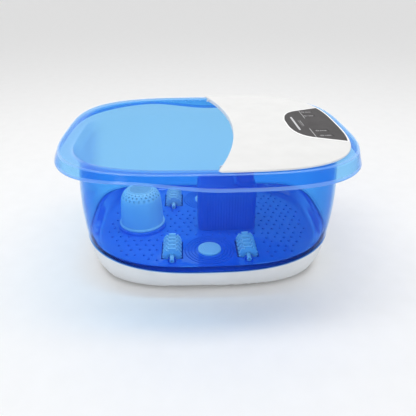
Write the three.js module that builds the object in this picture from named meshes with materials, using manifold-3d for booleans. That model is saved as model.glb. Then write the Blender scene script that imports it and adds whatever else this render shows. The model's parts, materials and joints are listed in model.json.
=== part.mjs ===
// Electric foot spa basin. Millimetres, +Z up, +X towards the toe end, origin on the ground
// under the middle of the basin.
import * as THREE from 'three';
import { mergeVertices } from 'three/addons/utils/BufferGeometryUtils.js';
import Module from 'manifold-3d';

const wasm = await Module();
wasm.setup();

// ---------- driving dimensions ----------
const GAP = 0.35; // play between pieces that touch
const SIDES = 52; // steps round the oval rings

// The oval of the tub's outer wall just under the rim; other ovals are offsets from it.
const WALL = { halfLength: 177, halfWidth: 146, power: 3.3 };
const FOOT = { halfLength: 178, halfWidth: 137, power: 3.1 }; // the same wall at the seam
const WALL_SHEET = 2.6;
const WALL_BULGE = 3.4; // how far the wall swells between the rim and the seam
const RIM_Z = 193;
const RIM_OUT = 23; // rim edge, out from the wall oval
const SKIRT_FLARE = 4.4;
const SKIRT_SHEET = 2.4;
const FLANGE_SHEET = 2.7;
const FLOOR_Z = 34; // top of the tub's floor
const FLOOR_SHEET = 3;
const SEAM_Z = 35.5; // seam between tub and base at the middle of the long side
const SEAM_RISE = 20; // how much higher the seam is at the two ends
const SEAM_STEP = 3.2; // step in the tub's wall that the base shroud fits round
const HEM_Z = 28; // lower edge of the tub's hidden hem
const HEM_IN = 9; // the hem's outside, in from the wall oval

// Base
const BASE_SHEET = 2.6;
const BASE_FOOT_Z = 5;
const BASE_TAPER = 13; // how far the base pulls in from the seam to its bottom edge
const PLATE_SHEET = 3;
const PLATE_Z = 5;
const FOOT_PAD = { radius: 13, stem: 5, x: 118, y: 82 };
const BASE_SCREWS = [[-142, 60], [-142, -60], [142, 60], [142, -60], [-25, -100], [-25, 100]];

// Island on the tub's floor, with the column that carries the cover
const ISLAND = { x: 30, halfLength: 44.5, halfWidth: 26, top: 108, sheet: 2.6, corner: 9 };
const COLUMN = { x: 57, halfLength: 13, halfWidth: 19, top: 184, screwY: 12 };

// Splash cover over the toe end
const COVER_SHEET = 3;
const COVER_TOP = RIM_Z + GAP + COVER_SHEET;
const COVER_UNDER = COVER_TOP - COVER_SHEET;
const COVER_REACH = { x: 11.5, y: 20 }; // cover's edge, out from the wall oval
const COVER_ARC = { apexX: 36, tipX: 7, tipY: 158 };
const COVER_LIP = { depth: 6, reach: 2.3, sheet: 2 }; // stiffening lip under the cover
const PANEL = {
  left: 117, shoulderX: 142, right: 183, farOffset: 9, halfLeft: 14, shoulderY: 62, halfRight: 79, sheet: 1.2,
};
const PANEL_PROUD = 0.2; // how far the panel and its keys stand above the cover
const KEY = { length: 20, width: 11, depth: 4.5 };
const KEY_TRAVEL = 0.5;
const KEY_SPOTS = [[157, 35], [158, 55], [157, -35], [158, -55]];
const LENS = { x: 129, halfLength: 1.6, halfWidth: 31 };
const TRAY = { x: 106.2, halfLength: 65.8, halfWidth: 66, low: 176, sheet: 2, corner: 12 };
const TRAY_SCREWS = [[50, -57], [50, 57], [108, -59.5], [108, 59.5]];
const BOARD = { x: 143.5, halfLength: 23.5, halfWidth: 60, sheet: 1.6, low: 183 };

// Massage rollers, discs and herb cup
const ROLLER = {
  x: 53.5, y: 78, length: 41, radius: 13.8, core: 9, bore: 3.2, rings: 5, ringWidth: 3.6, lobes: 6,
};
const ROLLER_Z = FLOOR_Z + 3.5; // the rollers lie half sunk in wells in the floor
const WELL = { radius: 15.8, length: 44, sheet: 2.4 };
const AXLE = { radius: 2.9, head: 3.3, headLength: 2.5, length: 65 };
const SADDLE = { sheet: 5, halfWidth: 6, rise: 1.6 };
const DISC = { y: 79, radius: 16.6, proud: 3 };
const CUP = {
  x: -102, pad: 38, padTop: FLOOR_Z + 4, flange: 35, flangeSheet: 2.6, body: 33, shoulder: 30.8, top: 96,
  cap: 18.5, sheet: 2, holes: 10,
};

// Pieces hidden in the base and the island
const SCREW = { head: 3.2, headHeight: 2, shank: 1.5, length: 13 };
const GLAND = { x: 95, z: 20, radius: 5.6, cord: 3.4 };
const VIBRATOR = { x: -48, z: 19.4, radius: 9.5, length: 30, shaft: 1.3, gap: 2 };
const HEATER = { x: -118, halfLength: 34, halfWidth: 60, sheet: 2.4 };
const BLOWER = { x: 22, low: 46, radius: 21, height: 21, sheet: 2 };
const POWER_BOARD = { x: 108, y: 26, halfLength: 22, halfWidth: 30, low: 12 };

const COLOURS = {
  blue: ['#2f86ee', 0.16, 0],
  white: ['#f0f0ee', 0.42, 0],
  panel: ['#565355', 0.45, 0],
  rubber: ['#2b2b2d', 0.85, 0],
  steel: ['#b9bbbe', 0.3, 0.9],
  lens: ['#c9ced2', 0.2, 0],
  board: ['#2f6b46', 0.6, 0],
  black: ['#26272a', 0.5, 0],
};

// ---------- shape helpers ----------
const model = new THREE.Group();

function solidOf(geometry) {
  const bare = geometry.clone();
  bare.deleteAttribute('normal');
  bare.deleteAttribute('uv');
  const merged = mergeVertices(bare, 1e-4);
  return new wasm.Manifold(new wasm.Mesh({
    numProp: 3,
    vertProperties: new Float32Array(merged.attributes.position.array),
    triVerts: new Uint32Array(merged.index.array),
  }));
}

function geometryOf(solid) {
  const mesh = solid.getMesh();
  const geometry = new THREE.BufferGeometry();
  geometry.setAttribute('position', new THREE.BufferAttribute(new Float32Array(mesh.vertProperties), 3));
  geometry.setIndex(new THREE.BufferAttribute(new Uint32Array(mesh.triVerts), 1));
  return geometry;
}

const pair = (value) => [-value, value];

const fourSpots = (x, y) => [[-x, -y], [x, -y], [-x, y], [x, y]];

function cut(body, ...tools) {
  return tools.reduce((left, tool) => left.subtract(solidOf(tool)), body);
}

function join(body, ...others) {
  return others.reduce((whole, other) => whole.add(solidOf(other)), body);
}

function piece(name, shape, colour, parent = model) {
  const [hex, roughness, metalness] = COLOURS[colour];
  const geometry = shape.isBufferGeometry ? shape : geometryOf(shape);
  geometry.computeVertexNormals();
  const mesh = new THREE.Mesh(geometry, new THREE.MeshStandardMaterial({ color: hex, roughness, metalness }));
  mesh.name = name;
  parent.add(mesh);
  return mesh;
}

function box(sizeX, sizeY, sizeZ, x, y, z) {
  return new THREE.BoxGeometry(sizeX, sizeY, sizeZ).translate(x, y, z);
}

// A round bar from z = low to z = high about a vertical axis at (x, y).
function post(radius, low, high, x, y, sides = 24) {
  return new THREE.CylinderGeometry(radius, radius, high - low, sides)
    .rotateX(Math.PI / 2)
    .translate(x, y, (low + high) / 2);
}

// A round bar along Y.
function barY(radius, length, x, y, z, sides = 24) {
  return new THREE.CylinderGeometry(radius, radius, length, sides).translate(x, y, z);
}

// A turned shape about a vertical axis at (x, y); profile is [radius, z] pairs from axis to axis.
function turned(profile, x, y, sides = 40) {
  return new THREE.LatheGeometry(profile.map(([r, z]) => new THREE.Vector2(r, z)), sides)
    .rotateX(Math.PI / 2)
    .translate(x, y, 0);
}

// A flat outline pulled up from z = low to z = high.
function slab(shape, low, high, curveSegments = 4) {
  return new THREE.ExtrudeGeometry(shape, { depth: high - low, bevelEnabled: false, curveSegments })
    .translate(0, 0, low);
}

function roundedRectangle(halfX, halfY, radius, x = 0, y = 0) {
  const shape = new THREE.Shape();
  shape.moveTo(x - halfX + radius, y - halfY);
  shape.lineTo(x + halfX - radius, y - halfY);
  shape.absarc(x + halfX - radius, y - halfY + radius, radius, -Math.PI / 2, 0);
  shape.lineTo(x + halfX, y + halfY - radius);
  shape.absarc(x + halfX - radius, y + halfY - radius, radius, 0, Math.PI / 2);
  shape.lineTo(x - halfX + radius, y + halfY);
  shape.absarc(x - halfX + radius, y + halfY - radius, radius, Math.PI / 2, Math.PI);
  shape.lineTo(x - halfX, y - halfY + radius);
  shape.absarc(x - halfX + radius, y - halfY + radius, radius, Math.PI, 1.5 * Math.PI);
  return shape;
}

// Point of an oval in the direction of angle, pushed out by offset.
function ovalPoint(oval, offset, angle) {
  const a = oval.halfLength + offset;
  const b = oval.halfWidth + offset;
  const reach = (Math.abs(Math.cos(angle) / a) ** oval.power + Math.abs(Math.sin(angle) / b) ** oval.power)
    ** (-1 / oval.power);
  return [reach * Math.cos(angle), reach * Math.sin(angle)];
}

// Rings are {oval, offset, z}, where z is a number or a function of the ring's x. Each joins the
// next. An open stack is closed by a point on the axis at each end, a closed one joins end to start.
function ringSkin(rings, closed = false) {
  const points = [];
  const faces = [];
  for (const ring of rings) {
    for (let i = 0; i < SIDES; i += 1) {
      const [x, y] = ovalPoint(ring.oval, ring.offset, (2 * Math.PI * i) / SIDES);
      points.push(x, y, typeof ring.z === 'function' ? ring.z(x) : ring.z);
    }
  }
  const at = (ring, i) => (ring % rings.length) * SIDES + (i % SIDES);
  for (let ring = 0; ring < rings.length - (closed ? 0 : 1); ring += 1) {
    for (let i = 0; i < SIDES; i += 1) {
      faces.push(at(ring, i), at(ring, i + 1), at(ring + 1, i + 1));
      faces.push(at(ring, i), at(ring + 1, i + 1), at(ring + 1, i));
    }
  }
  if (!closed) {
    const first = points.length / 3;
    points.push(0, 0, rings[0].z, 0, 0, rings[rings.length - 1].z);
    for (let i = 0; i < SIDES; i += 1) {
      faces.push(first, at(0, i + 1), at(0, i));
      faces.push(first + 1, at(rings.length - 1, i), at(rings.length - 1, i + 1));
    }
  }
  const geometry = new THREE.BufferGeometry();
  geometry.setAttribute('position', new THREE.BufferAttribute(new Float32Array(points), 3));
  geometry.setIndex(faces);
  return geometry;
}

// ---------- the tub's outline ----------
const seamZ = (x) => SEAM_Z + SEAM_RISE * (Math.abs(x) / FOOT.halfLength) ** 2.4;

// The skirt is short at the heel end, shortest at the handhold, and deep from the middle to the toes.
function skirtDepth(x) {
  const toDeep = THREE.MathUtils.smoothstep(x, -95, 10);
  const toHeel = THREE.MathUtils.smoothstep(-x, 95, 185);
  return 11 + 9.5 * toDeep + 3 * toHeel;
}

// The wall's oval at a share of the way from the seam (0) to just under the rim (1).
function wallOval(share) {
  const swell = WALL_BULGE * 4 * share * (1 - share);
  const mix = (low, high) => low + (high - low) * share;
  return {
    halfLength: mix(FOOT.halfLength, WALL.halfLength) + swell,
    halfWidth: mix(FOOT.halfWidth, WALL.halfWidth) + swell,
    power: mix(FOOT.power, WALL.power),
  };
}

function tubShell() {
  const wallTop = RIM_Z - 22;
  const outerWall = [0.03, 0.25, 0.5, 0.75, 1].map((share) => ({
    oval: wallOval(share),
    offset: 0,
    z: (x) => seamZ(x) + (wallTop - seamZ(x)) * share,
  }));
  const innerWall = [1, 0.75, 0.5, 0.3].map((share) => ({
    oval: wallOval(share),
    offset: -WALL_SHEET,
    z: FLOOR_Z - 4 + (wallTop - FLOOR_Z + 4) * share,
  }));
  const underRim = [[2.2, 10], [5.5, 17], [9.5, 22 - FLANGE_SHEET]]
    .map(([offset, rise]) => ({ oval: WALL, offset, z: wallTop + rise }));
  const overRim = [[RIM_OUT - 1.2, -0.2], [11.5, -0.3], [7, -1.2], [3.6, -4.5], [0.6, -11]]
    .map(([offset, drop]) => ({ oval: WALL, offset, z: RIM_Z + drop }));
  const skirtInner = RIM_OUT - SKIRT_SHEET;
  const corner = [[-5.5, 22], [-9, 12], [-13.5, 4], [-20, 0]]
    .map(([offset, rise]) => ({ oval: wallOval(0.08), offset, z: FLOOR_Z + rise }));
  const shell = solidOf(ringSkin([
    { oval: FOOT, offset: -HEM_IN - 7, z: FLOOR_Z - FLOOR_SHEET },
    { oval: FOOT, offset: -HEM_IN - 3, z: FLOOR_Z - FLOOR_SHEET - 0.5 },
    { oval: FOOT, offset: -HEM_IN - 2.4, z: HEM_Z },
    { oval: FOOT, offset: -HEM_IN, z: HEM_Z },
    { oval: FOOT, offset: -SEAM_STEP, z: seamZ },
    { oval: FOOT, offset: 0, z: seamZ },
    ...outerWall,
    ...underRim,
    { oval: WALL, offset: skirtInner, z: RIM_Z - FLANGE_SHEET },
    { oval: WALL, offset: skirtInner + SKIRT_FLARE, z: (x) => RIM_Z - skirtDepth(x) },
    { oval: WALL, offset: RIM_OUT + SKIRT_FLARE, z: (x) => RIM_Z - skirtDepth(x) },
    { oval: WALL, offset: RIM_OUT, z: RIM_Z - 1.6 },
    ...overRim,
    ...innerWall,
    ...corner,
  ]));
  return withFloorWork(shell);
}

// The hollow island and its column, the roller wells and saddles, the cup's pad, the screw posts and holes.
function withFloorWork(shell) {
  const flank = roundedRectangle(ISLAND.halfLength, ISLAND.halfWidth, ISLAND.corner, ISLAND.x);
  const { halfLength, halfWidth, corner, sheet } = ISLAND;
  const hollow = roundedRectangle(halfLength - sheet, halfWidth - sheet, corner - sheet, ISLAND.x);
  const neck = roundedRectangle(COLUMN.halfLength, COLUMN.halfWidth, 6, COLUMN.x);
  const neckHollow = roundedRectangle(
    COLUMN.halfLength - ISLAND.sheet, COLUMN.halfWidth - ISLAND.sheet, 4, COLUMN.x);
  const under = FLOOR_Z - FLOOR_SHEET - 2;
  let body = join(shell,
    slab(flank, FLOOR_Z - FLOOR_SHEET / 2, ISLAND.top, 4),
    slab(neck, FLOOR_Z, COLUMN.top, 3),
    ...saddles(),
    post(CUP.pad, FLOOR_Z - FLOOR_SHEET / 2, CUP.padTop, CUP.x, 0, 36),
    ...BASE_SCREWS.map(([x, y]) => post(4.5, PLATE_Z + PLATE_SHEET + GAP, FLOOR_Z - 1, x, y, 12)));
  for (const [x, y] of fourSpots(ROLLER.x, ROLLER.y)) {
    const wellShell = barY(WELL.radius + WELL.sheet, WELL.length + 2 * WELL.sheet, x, y, ROLLER_Z, 28);
    body = body.add(cut(solidOf(wellShell), box(60, 80, 60, x, y, FLOOR_Z - 1 + 30)));
    body = cut(body, barY(WELL.radius, WELL.length, x, y, ROLLER_Z, 28));
  }
  body = cut(body,
    slab(hollow, under, ISLAND.top - ISLAND.sheet, 3),
    slab(neckHollow, under, COLUMN.top - ISLAND.sheet, 2),
    post(6, COLUMN.top - 10, COLUMN.top + 1, COLUMN.x, 0, 12),
    ...pair(COLUMN.screwY).map((y) => post(2, COLUMN.top - 10, COLUMN.top + 1, COLUMN.x, y, 8)),
    ...pair(DISC.y).map((y) => post(DISC.radius - 5, under, FLOOR_Z + 1, 0, y, 16)),
    ...pair(12).map((y) => post(2, under, CUP.padTop + 1, CUP.x, y, 8)),
    ...BASE_SCREWS.map(([x, y]) => post(SCREW.shank + 0.3, 0, FLOOR_Z - 8, x, y, 8)));
  return body;
}

// A low block at each end of each roller, with an open-topped slot for the axle.
function saddles() {
  const blocks = [];
  for (const [x, y] of fourSpots(ROLLER.x, ROLLER.y)) {
    for (const end of [-1, 1]) {
      const middleY = y + end * (WELL.length / 2 + WELL.sheet + SADDLE.sheet / 2);
      const shape = new THREE.Shape();
      const half = SADDLE.halfWidth;
      const slot = AXLE.radius + 0.3;
      const low = FLOOR_Z - 1;
      const high = ROLLER_Z + SADDLE.rise;
      shape.moveTo(-half, low);
      shape.lineTo(half, low);
      shape.lineTo(half - 1, high);
      shape.lineTo(slot, high);
      shape.lineTo(slot, ROLLER_Z);
      shape.absarc(0, ROLLER_Z, slot, 0, -Math.PI, true);
      shape.lineTo(-slot, high);
      shape.lineTo(-half + 1, high);
      const extrusion = { depth: SADDLE.sheet, bevelEnabled: false, curveSegments: 5 };
      blocks.push(new THREE.ExtrudeGeometry(shape, extrusion)
        .rotateX(Math.PI / 2)
        .translate(x, middleY + SADDLE.sheet / 2, 0));
    }
  }
  return blocks;
}

// ---------- base ----------
function baseShroud() {
  const inside = -SEAM_STEP + 2 * GAP;
  const ring = (share, offset) => ({
    oval: FOOT,
    offset: offset - BASE_TAPER * (1 - share) ** 1.6,
    z: (x) => BASE_FOOT_Z + (seamZ(x) - GAP - BASE_FOOT_Z) * share,
  });
  const foot = -BASE_TAPER;
  const skin = ringSkin([
    { oval: FOOT, offset: foot, z: BASE_FOOT_Z },
    ring(0.12, -0.4), ring(0.35, 0), ring(0.65, 0), ring(1, 0),
    { oval: FOOT, offset: inside, z: (x) => seamZ(x) - GAP },
    { oval: FOOT, offset: -HEM_IN + 2 * GAP, z: HEM_Z - 1 },
    { oval: FOOT, offset: foot - 1, z: BASE_FOOT_Z + PLATE_SHEET + 6 },
    { oval: FOOT, offset: foot - BASE_SHEET, z: BASE_FOOT_Z + PLATE_SHEET + 1 },
    { oval: FOOT, offset: foot - BASE_SHEET, z: BASE_FOOT_Z },
  ], true);
  const notches = [[-27, 66], [28, 5], [48, 5], [59, 5], [70, 5]].map(([x, length]) => (
    box(length, 30, 3.6, x, -FOOT.halfWidth + 15, BASE_FOOT_Z)));
  const glandHole = barY(GLAND.radius + GAP, 40, GLAND.x, FOOT.halfWidth - 18, GLAND.z, 16);
  return cut(solidOf(skin), ...notches, glandHole);
}

function bottomPlate() {
  const edge = -BASE_TAPER - BASE_SHEET - GAP;
  const oval = (z, inset = 0) => ({ oval: FOOT, offset: edge - inset, z });
  let plate = solidOf(ringSkin([oval(PLATE_Z), oval(PLATE_Z + PLATE_SHEET)]));
  const slots = [];
  for (const side of [-1, 1]) {
    for (let i = 0; i < 4; i += 1) {
      slots.push(box(4, 34, 10, ISLAND.x - 18 + i * 12, side * 32, PLATE_Z + 1));
    }
  }
  plate = cut(plate,
    ...slots,
    ...fourSpots(FOOT_PAD.x, FOOT_PAD.y).map(([x, y]) => post(FOOT_PAD.stem + GAP, 0, 20, x, y, 12)),
    ...BASE_SCREWS.map(([x, y]) => post(SCREW.shank + GAP, 0, 20, x, y, 8)));
  return plate;
}

function rubberFoot([x, y]) {
  const plateTop = PLATE_Z + PLATE_SHEET;
  return turned([
    [0, 0], [FOOT_PAD.radius - 1, 0], [FOOT_PAD.radius, 1.5], [FOOT_PAD.radius - 0.5, PLATE_Z - GAP],
    [FOOT_PAD.stem, PLATE_Z - GAP], [FOOT_PAD.stem, plateTop + GAP], [FOOT_PAD.stem + 1.4, plateTop + GAP],
    [FOOT_PAD.stem, plateTop + 2.5], [0, plateTop + 2.5],
  ], x, y, 12);
}

function cordGland() {
  const { x, z, radius, cord } = GLAND;
  const wall = FOOT.halfWidth - BASE_TAPER * 0.35;
  const flange = barY(radius + 3, 2.5, x, wall - 22, z, 16);
  const body = join(solidOf(barY(radius, 24, x, wall - 14, z, 16)), flange);
  return cut(body, barY(cord, 60, x, wall - 8, z, 12));
}

// A pan-head screw along Z: its head rests at seat and its shank runs up (way 1) from there.
function screw(x, y, seat) {
  const { head, headHeight, shank, length } = SCREW;
  return turned([
    [0, seat - headHeight], [head - 0.8, seat - headHeight], [head, seat - headHeight + 0.9], [head, seat],
    [shank, seat], [shank, seat + length - 1.5], [0, seat + length],
  ], x, y, 8);
}

// ---------- cover and control panel ----------
// The cover's right-hand edge runs inside the rim; its left edge is an arc bowed towards the toes.
function coverOutline(reachX = COVER_REACH.x, reachY = COVER_REACH.y, arcInset = 0) {
  const { apexX, tipX, tipY } = COVER_ARC;
  const edge = { ...WALL, halfLength: WALL.halfLength + reachX, halfWidth: WALL.halfWidth + reachY };
  const bow = apexX - tipX;
  const radius = (tipY * tipY + bow * bow) / (2 * bow);
  const span = Math.asin((tipY + reachY - COVER_REACH.y) / radius);
  const tipAngle = Math.atan2(tipY + 7, tipX + arcInset);
  const shape = new THREE.Shape();
  const rimSteps = 28;
  for (let i = 0; i <= rimSteps; i += 1) {
    const [x, y] = ovalPoint(edge, 0, tipAngle * (-1 + (2 * i) / rimSteps));
    if (i === 0) shape.moveTo(x, y);
    else shape.lineTo(x, y);
  }
  const arcSteps = 14;
  const centreX = apexX + arcInset - radius;
  for (let i = 0; i <= arcSteps; i += 1) {
    const angle = span * (1 - (2 * i) / arcSteps);
    shape.lineTo(centreX + radius * Math.cos(angle), radius * Math.sin(angle));
  }
  return shape;
}

// A shield: blunt towards the heel, spreading towards the toes, its far edge parallel to the rim.
function panelOutline(grow = 0) {
  const farAngle = Math.atan2(PANEL.halfRight + grow, PANEL.right);
  const farSteps = 10;
  const shape = new THREE.Shape();
  for (let i = 0; i <= farSteps; i += 1) {
    const [x, y] = ovalPoint(WALL, PANEL.farOffset + grow, farAngle * (-1 + (2 * i) / farSteps));
    if (i === 0) shape.moveTo(x, y);
    else shape.lineTo(x, y);
  }
  const left = PANEL.left - grow;
  const shoulder = PANEL.shoulderY + grow;
  shape.lineTo(PANEL.shoulderX, shoulder);
  shape.quadraticCurveTo(left + 3, shoulder - 9, left, PANEL.halfLeft);
  shape.lineTo(left, -PANEL.halfLeft);
  shape.quadraticCurveTo(left + 3, 9 - shoulder, PANEL.shoulderX, -shoulder);
  return shape;
}

function keyOutline([x, y], grow = 0) {
  return roundedRectangle(KEY.length / 2 + grow, KEY.width / 2 + grow, 3 + grow, x, y);
}

function lensOutline(grow = 0) {
  return roundedRectangle(LENS.halfLength + grow, LENS.halfWidth + grow, 1.5 + grow, LENS.x);
}

function splashCover() {
  const { depth, reach, sheet } = COVER_LIP;
  const lipLow = COVER_TOP - depth;
  const lip = cut(solidOf(slab(coverOutline(reach, reach), lipLow, COVER_UNDER + 1)),
    slab(coverOutline(reach - sheet, reach - sheet, sheet), lipLow - 1, COVER_UNDER));
  const bosses = [
    ...pair(COLUMN.screwY).map((y) => post(4, COLUMN.top + GAP, COVER_UNDER + 1, COLUMN.x, y, 10)),
    ...TRAY_SCREWS.map(([x, y]) => post(4, TRAY.low + TRAY.sheet + GAP, COVER_UNDER + 1, x, y, 10)),
  ];
  const cover = join(solidOf(slab(coverOutline(), COVER_UNDER, COVER_TOP)).add(lip), ...bosses);
  return cut(cover,
    slab(panelOutline(GAP), COVER_TOP - PANEL.sheet - GAP, COVER_TOP + 1, 5),
    ...KEY_SPOTS.map((spot) => slab(keyOutline(spot, 1), COVER_UNDER - 1, COVER_TOP + 1, 2)),
    slab(lensOutline(1), COVER_UNDER - 1, COVER_TOP + 1, 2),
    ...pair(COLUMN.screwY).map((y) => post(SCREW.shank + GAP, COLUMN.top - 1, COVER_TOP - 1, COLUMN.x, y, 8)),
    ...TRAY_SCREWS.map(([x, y]) => post(SCREW.shank + GAP, TRAY.low, COVER_TOP - 1.6, x, y, 8)));
}

function controlPanel() {
  const low = COVER_TOP - PANEL.sheet;
  return cut(solidOf(slab(panelOutline(), low, COVER_TOP + PANEL_PROUD, 5)),
    ...KEY_SPOTS.map((spot) => slab(keyOutline(spot, GAP), low - 1, COVER_TOP + 2, 2)),
    slab(lensOutline(GAP), low - 1, COVER_TOP + 2, 2));
}

function panelKey(spot) {
  return slab(keyOutline(spot), COVER_TOP - KEY.depth, COVER_TOP + PANEL_PROUD, 2);
}

function indicatorLens() {
  return slab(lensOutline(), COVER_TOP - KEY.depth, COVER_TOP + PANEL_PROUD, 2);
}

// A shallow box under the cover that keeps splashes off the board. The column comes up through it.
function electronicsTray() {
  const { x, halfLength, halfWidth, low, sheet, corner } = TRAY;
  const outside = slab(roundedRectangle(halfLength, halfWidth, corner, x), low, COVER_UNDER - GAP, 4);
  const inside = roundedRectangle(halfLength - sheet, halfWidth - sheet, corner - sheet, x);
  const columnWay = roundedRectangle(COLUMN.halfLength + 1, COLUMN.halfWidth + 1, 6, COLUMN.x);
  return cut(solidOf(outside),
    slab(inside, low + sheet, COVER_UNDER + 1, 4),
    slab(columnWay, low - 1, low + sheet + 1, 3),
    ...TRAY_SCREWS.map(([px, py]) => post(SCREW.shank + GAP, low - 1, low + sheet + 1, px, py, 8)));
}

// The board under the keys, with one switch below each key and a light bar below the lens.
function panelBoard() {
  const { x, halfLength, halfWidth, sheet, low } = BOARD;
  const partTop = COVER_TOP - KEY.depth;
  const board = solidOf(box(2 * halfLength, 2 * halfWidth, sheet, x, 0, low + sheet / 2));
  const partHigh = partTop - KEY_TRAVEL - GAP;
  const blocks = KEY_SPOTS.map(([kx, ky]) => box(6, 6, partHigh - low, kx, ky, (partHigh + low) / 2));
  const light = box(3, 50, partTop - GAP - low, LENS.x, 0, (partTop - GAP + low) / 2);
  const legs = fourSpots(halfLength - 4, halfWidth - 16).map(([px, py]) => {
    const floor = TRAY.low + TRAY.sheet + GAP;
    return post(2.5, floor, low + sheet / 2, x + px, py, 8);
  });
  return join(board, ...blocks, light, ...legs);
}

// ---------- massage pieces ----------
// A drum of lobed rings on a bare core, bored for its axle. The drum's axis is Y. Each lobe has a
// flat end between two corners, and a notch parts it from the next.
function rollerDrum([x, y]) {
  const { length, radius, core, bore, rings, ringWidth, lobes } = ROLLER;
  const shape = new THREE.Shape();
  for (let k = 0; k < lobes; k += 1) {
    for (const [share, reach] of [[-0.38, radius], [0, radius - 0.9], [0.38, radius], [0.5, core + 0.8]]) {
      const angle = (2 * Math.PI * (k + share)) / lobes + Math.PI / 2;
      if (k === 0 && share === -0.38) shape.moveTo(reach * Math.cos(angle), reach * Math.sin(angle));
      else shape.lineTo(reach * Math.cos(angle), reach * Math.sin(angle));
    }
  }
  let drum = solidOf(barY(core, length, x, y, ROLLER_Z, 18));
  for (let i = 0; i < rings; i += 1) {
    const front = y - length / 2 + (i * (length - ringWidth)) / (rings - 1);
    drum = join(drum, new THREE.ExtrudeGeometry(shape, { depth: ringWidth, bevelEnabled: false })
      .rotateX(Math.PI / 2)
      .translate(x, front + ringWidth, ROLLER_Z));
  }
  return cut(drum, barY(bore, length + 2, x, y, ROLLER_Z, 12));
}

function rollerAxle([x, y]) {
  const headY = AXLE.length / 2 - AXLE.headLength / 2;
  return join(solidOf(barY(AXLE.radius, AXLE.length, x, y, ROLLER_Z, 12)),
    ...pair(headY).map((end) => barY(AXLE.head, AXLE.headLength, x, y + end, ROLLER_Z, 12)));
}

// A dotted cap in the floor over an air outlet, with a hollow stem through it and a snap ring below.
function bubbleDisc(y) {
  const stem = DISC.radius - 5 - GAP;
  const bore = stem - 1.8;
  const under = FLOOR_Z - FLOOR_SHEET - GAP;
  const top = FLOOR_Z + DISC.proud;
  return turned([
    [bore, under - 2.4], [stem + 0.8, under - 2.4], [stem + 0.8, under], [stem, under],
    [stem, FLOOR_Z + GAP], [DISC.radius, FLOOR_Z + GAP], [DISC.radius, top - 1],
    [DISC.radius - 1.2, top - 0.2], [0, top + 0.4], [0, top - 1.6], [bore, top - 1.8], [bore, under - 2.4],
  ], 0, y, 18);
}

function herbCup() {
  const { padTop, flange, flangeSheet, body, shoulder, top, cap, sheet, holes } = CUP;
  const low = padTop + GAP;
  const seat = top - 3; // where the cap rests
  const outside = [
    [flange, low], [flange, low + flangeSheet - 1], [flange - 1, low + flangeSheet],
    [body, low + flangeSheet + 0.5], [shoulder, top - 18], [shoulder - 1.2, top - 12],
    [shoulder - 3.9, top - 6.6], [shoulder - 7.2, top - 2.9], [cap + 1.4, top - 0.8],
    [cap + GAP, top - 0.8], [cap + GAP, seat],
  ];
  const inside = [
    [cap - 4, seat], [cap - 4, seat - 2], [cap + 2, seat - 2.2], [shoulder - sheet - 4, top - 8.4],
    [shoulder - sheet - 1.2, top - 13], [shoulder - sheet, top - 18.5], [body - sheet, low],
  ];
  const shell = solidOf(turned([...outside, ...inside, outside[0]], CUP.x, 0, 24));
  const bores = [];
  for (let i = 0; i < holes; i += 1) {
    bores.push(new THREE.CylinderGeometry(1.4, 1.4, 12, 5)
      .rotateZ(Math.PI / 2)
      .translate(shoulder, 0, 0)
      .rotateZ((2 * Math.PI * i) / holes)
      .translate(CUP.x, 0, top - 9));
  }
  return cut(shell, ...bores);
}

function herbCupCap() {
  const { x, top, cap } = CUP;
  const seat = top - 3 + GAP;
  return turned([
    [0, seat - 3], [cap - 4 - GAP, seat - 3], [cap - 4 - GAP, seat], [cap, seat], [cap, top - 0.8],
    [cap - 1, top], [0, top],
  ], x, 0, 24);
}

// A low ring screwed to the pad that the cup's skirt fits over.
function herbCupSeat() {
  const outer = CUP.body - CUP.sheet - 0.9;
  const low = CUP.padTop + GAP;
  const ring = turned([
    [0, low], [outer, low], [outer, low + 7], [outer - 2, low + 7], [outer - 2, low + 2], [0, low + 2],
  ], CUP.x, 0, 24);
  return cut(solidOf(ring), ...pair(12).map((y) => post(2, low - 1, low + 4, CUP.x, y, 8)));
}

// ---------- inside the base and the island ----------
function vibrationMotor() {
  const { x, z, radius, length, shaft } = VIBRATOR;
  return cut(solidOf(barY(radius, length, x, 0, z, 20)), barY(shaft + GAP, 14, x, -length / 2 - 1, z, 10));
}

// A half disc on the motor's shaft: it hangs below the shaft, so it shakes the basin as it turns.
function eccentricWeight() {
  const { x, z, length, shaft, gap } = VIBRATOR;
  const shape = new THREE.Shape();
  shape.absarc(0, 0, 8, Math.PI, 2 * Math.PI);
  shape.lineTo(4, 2.5);
  shape.lineTo(-4, 2.5);
  const weight = new THREE.ExtrudeGeometry(shape, { depth: 7, bevelEnabled: false, curveSegments: 8 })
    .rotateX(Math.PI / 2)
    .translate(x, -length / 2 - gap, z);
  return join(solidOf(weight), barY(shaft, 14, x, -length / 2 - gap, z, 10));
}

function motorBracket() {
  const { x, z, radius, length } = VIBRATOR;
  const low = PLATE_Z + PLATE_SHEET + GAP;
  const block = solidOf(box(2 * radius + 8, length - 8, z - low, x, 0, (z + low) / 2));
  return cut(block, barY(radius + GAP, length + 2, x, 0, z, 20));
}

function heaterPlate() {
  const { x, halfLength, halfWidth, sheet } = HEATER;
  const high = FLOOR_Z - FLOOR_SHEET - GAP;
  return cut(solidOf(slab(roundedRectangle(halfLength, halfWidth, 10, x), high - sheet, high, 4)),
    ...BASE_SCREWS.map(([px, py]) => post(7, high - 10, high + 1, px, py, 10)));
}

const underHeater = FLOOR_Z - FLOOR_SHEET - 2 * GAP - HEATER.sheet;

function thermostat() {
  return turned([[0, underHeater - 7], [5, underHeater - 7], [8, underHeater - 4], [8, underHeater],
    [0, underHeater]], HEATER.x, 20, 16);
}

function thermalFuse() {
  return barY(2.2, 12, HEATER.x, -18, underHeater - 2.2, 10);
}

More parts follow.
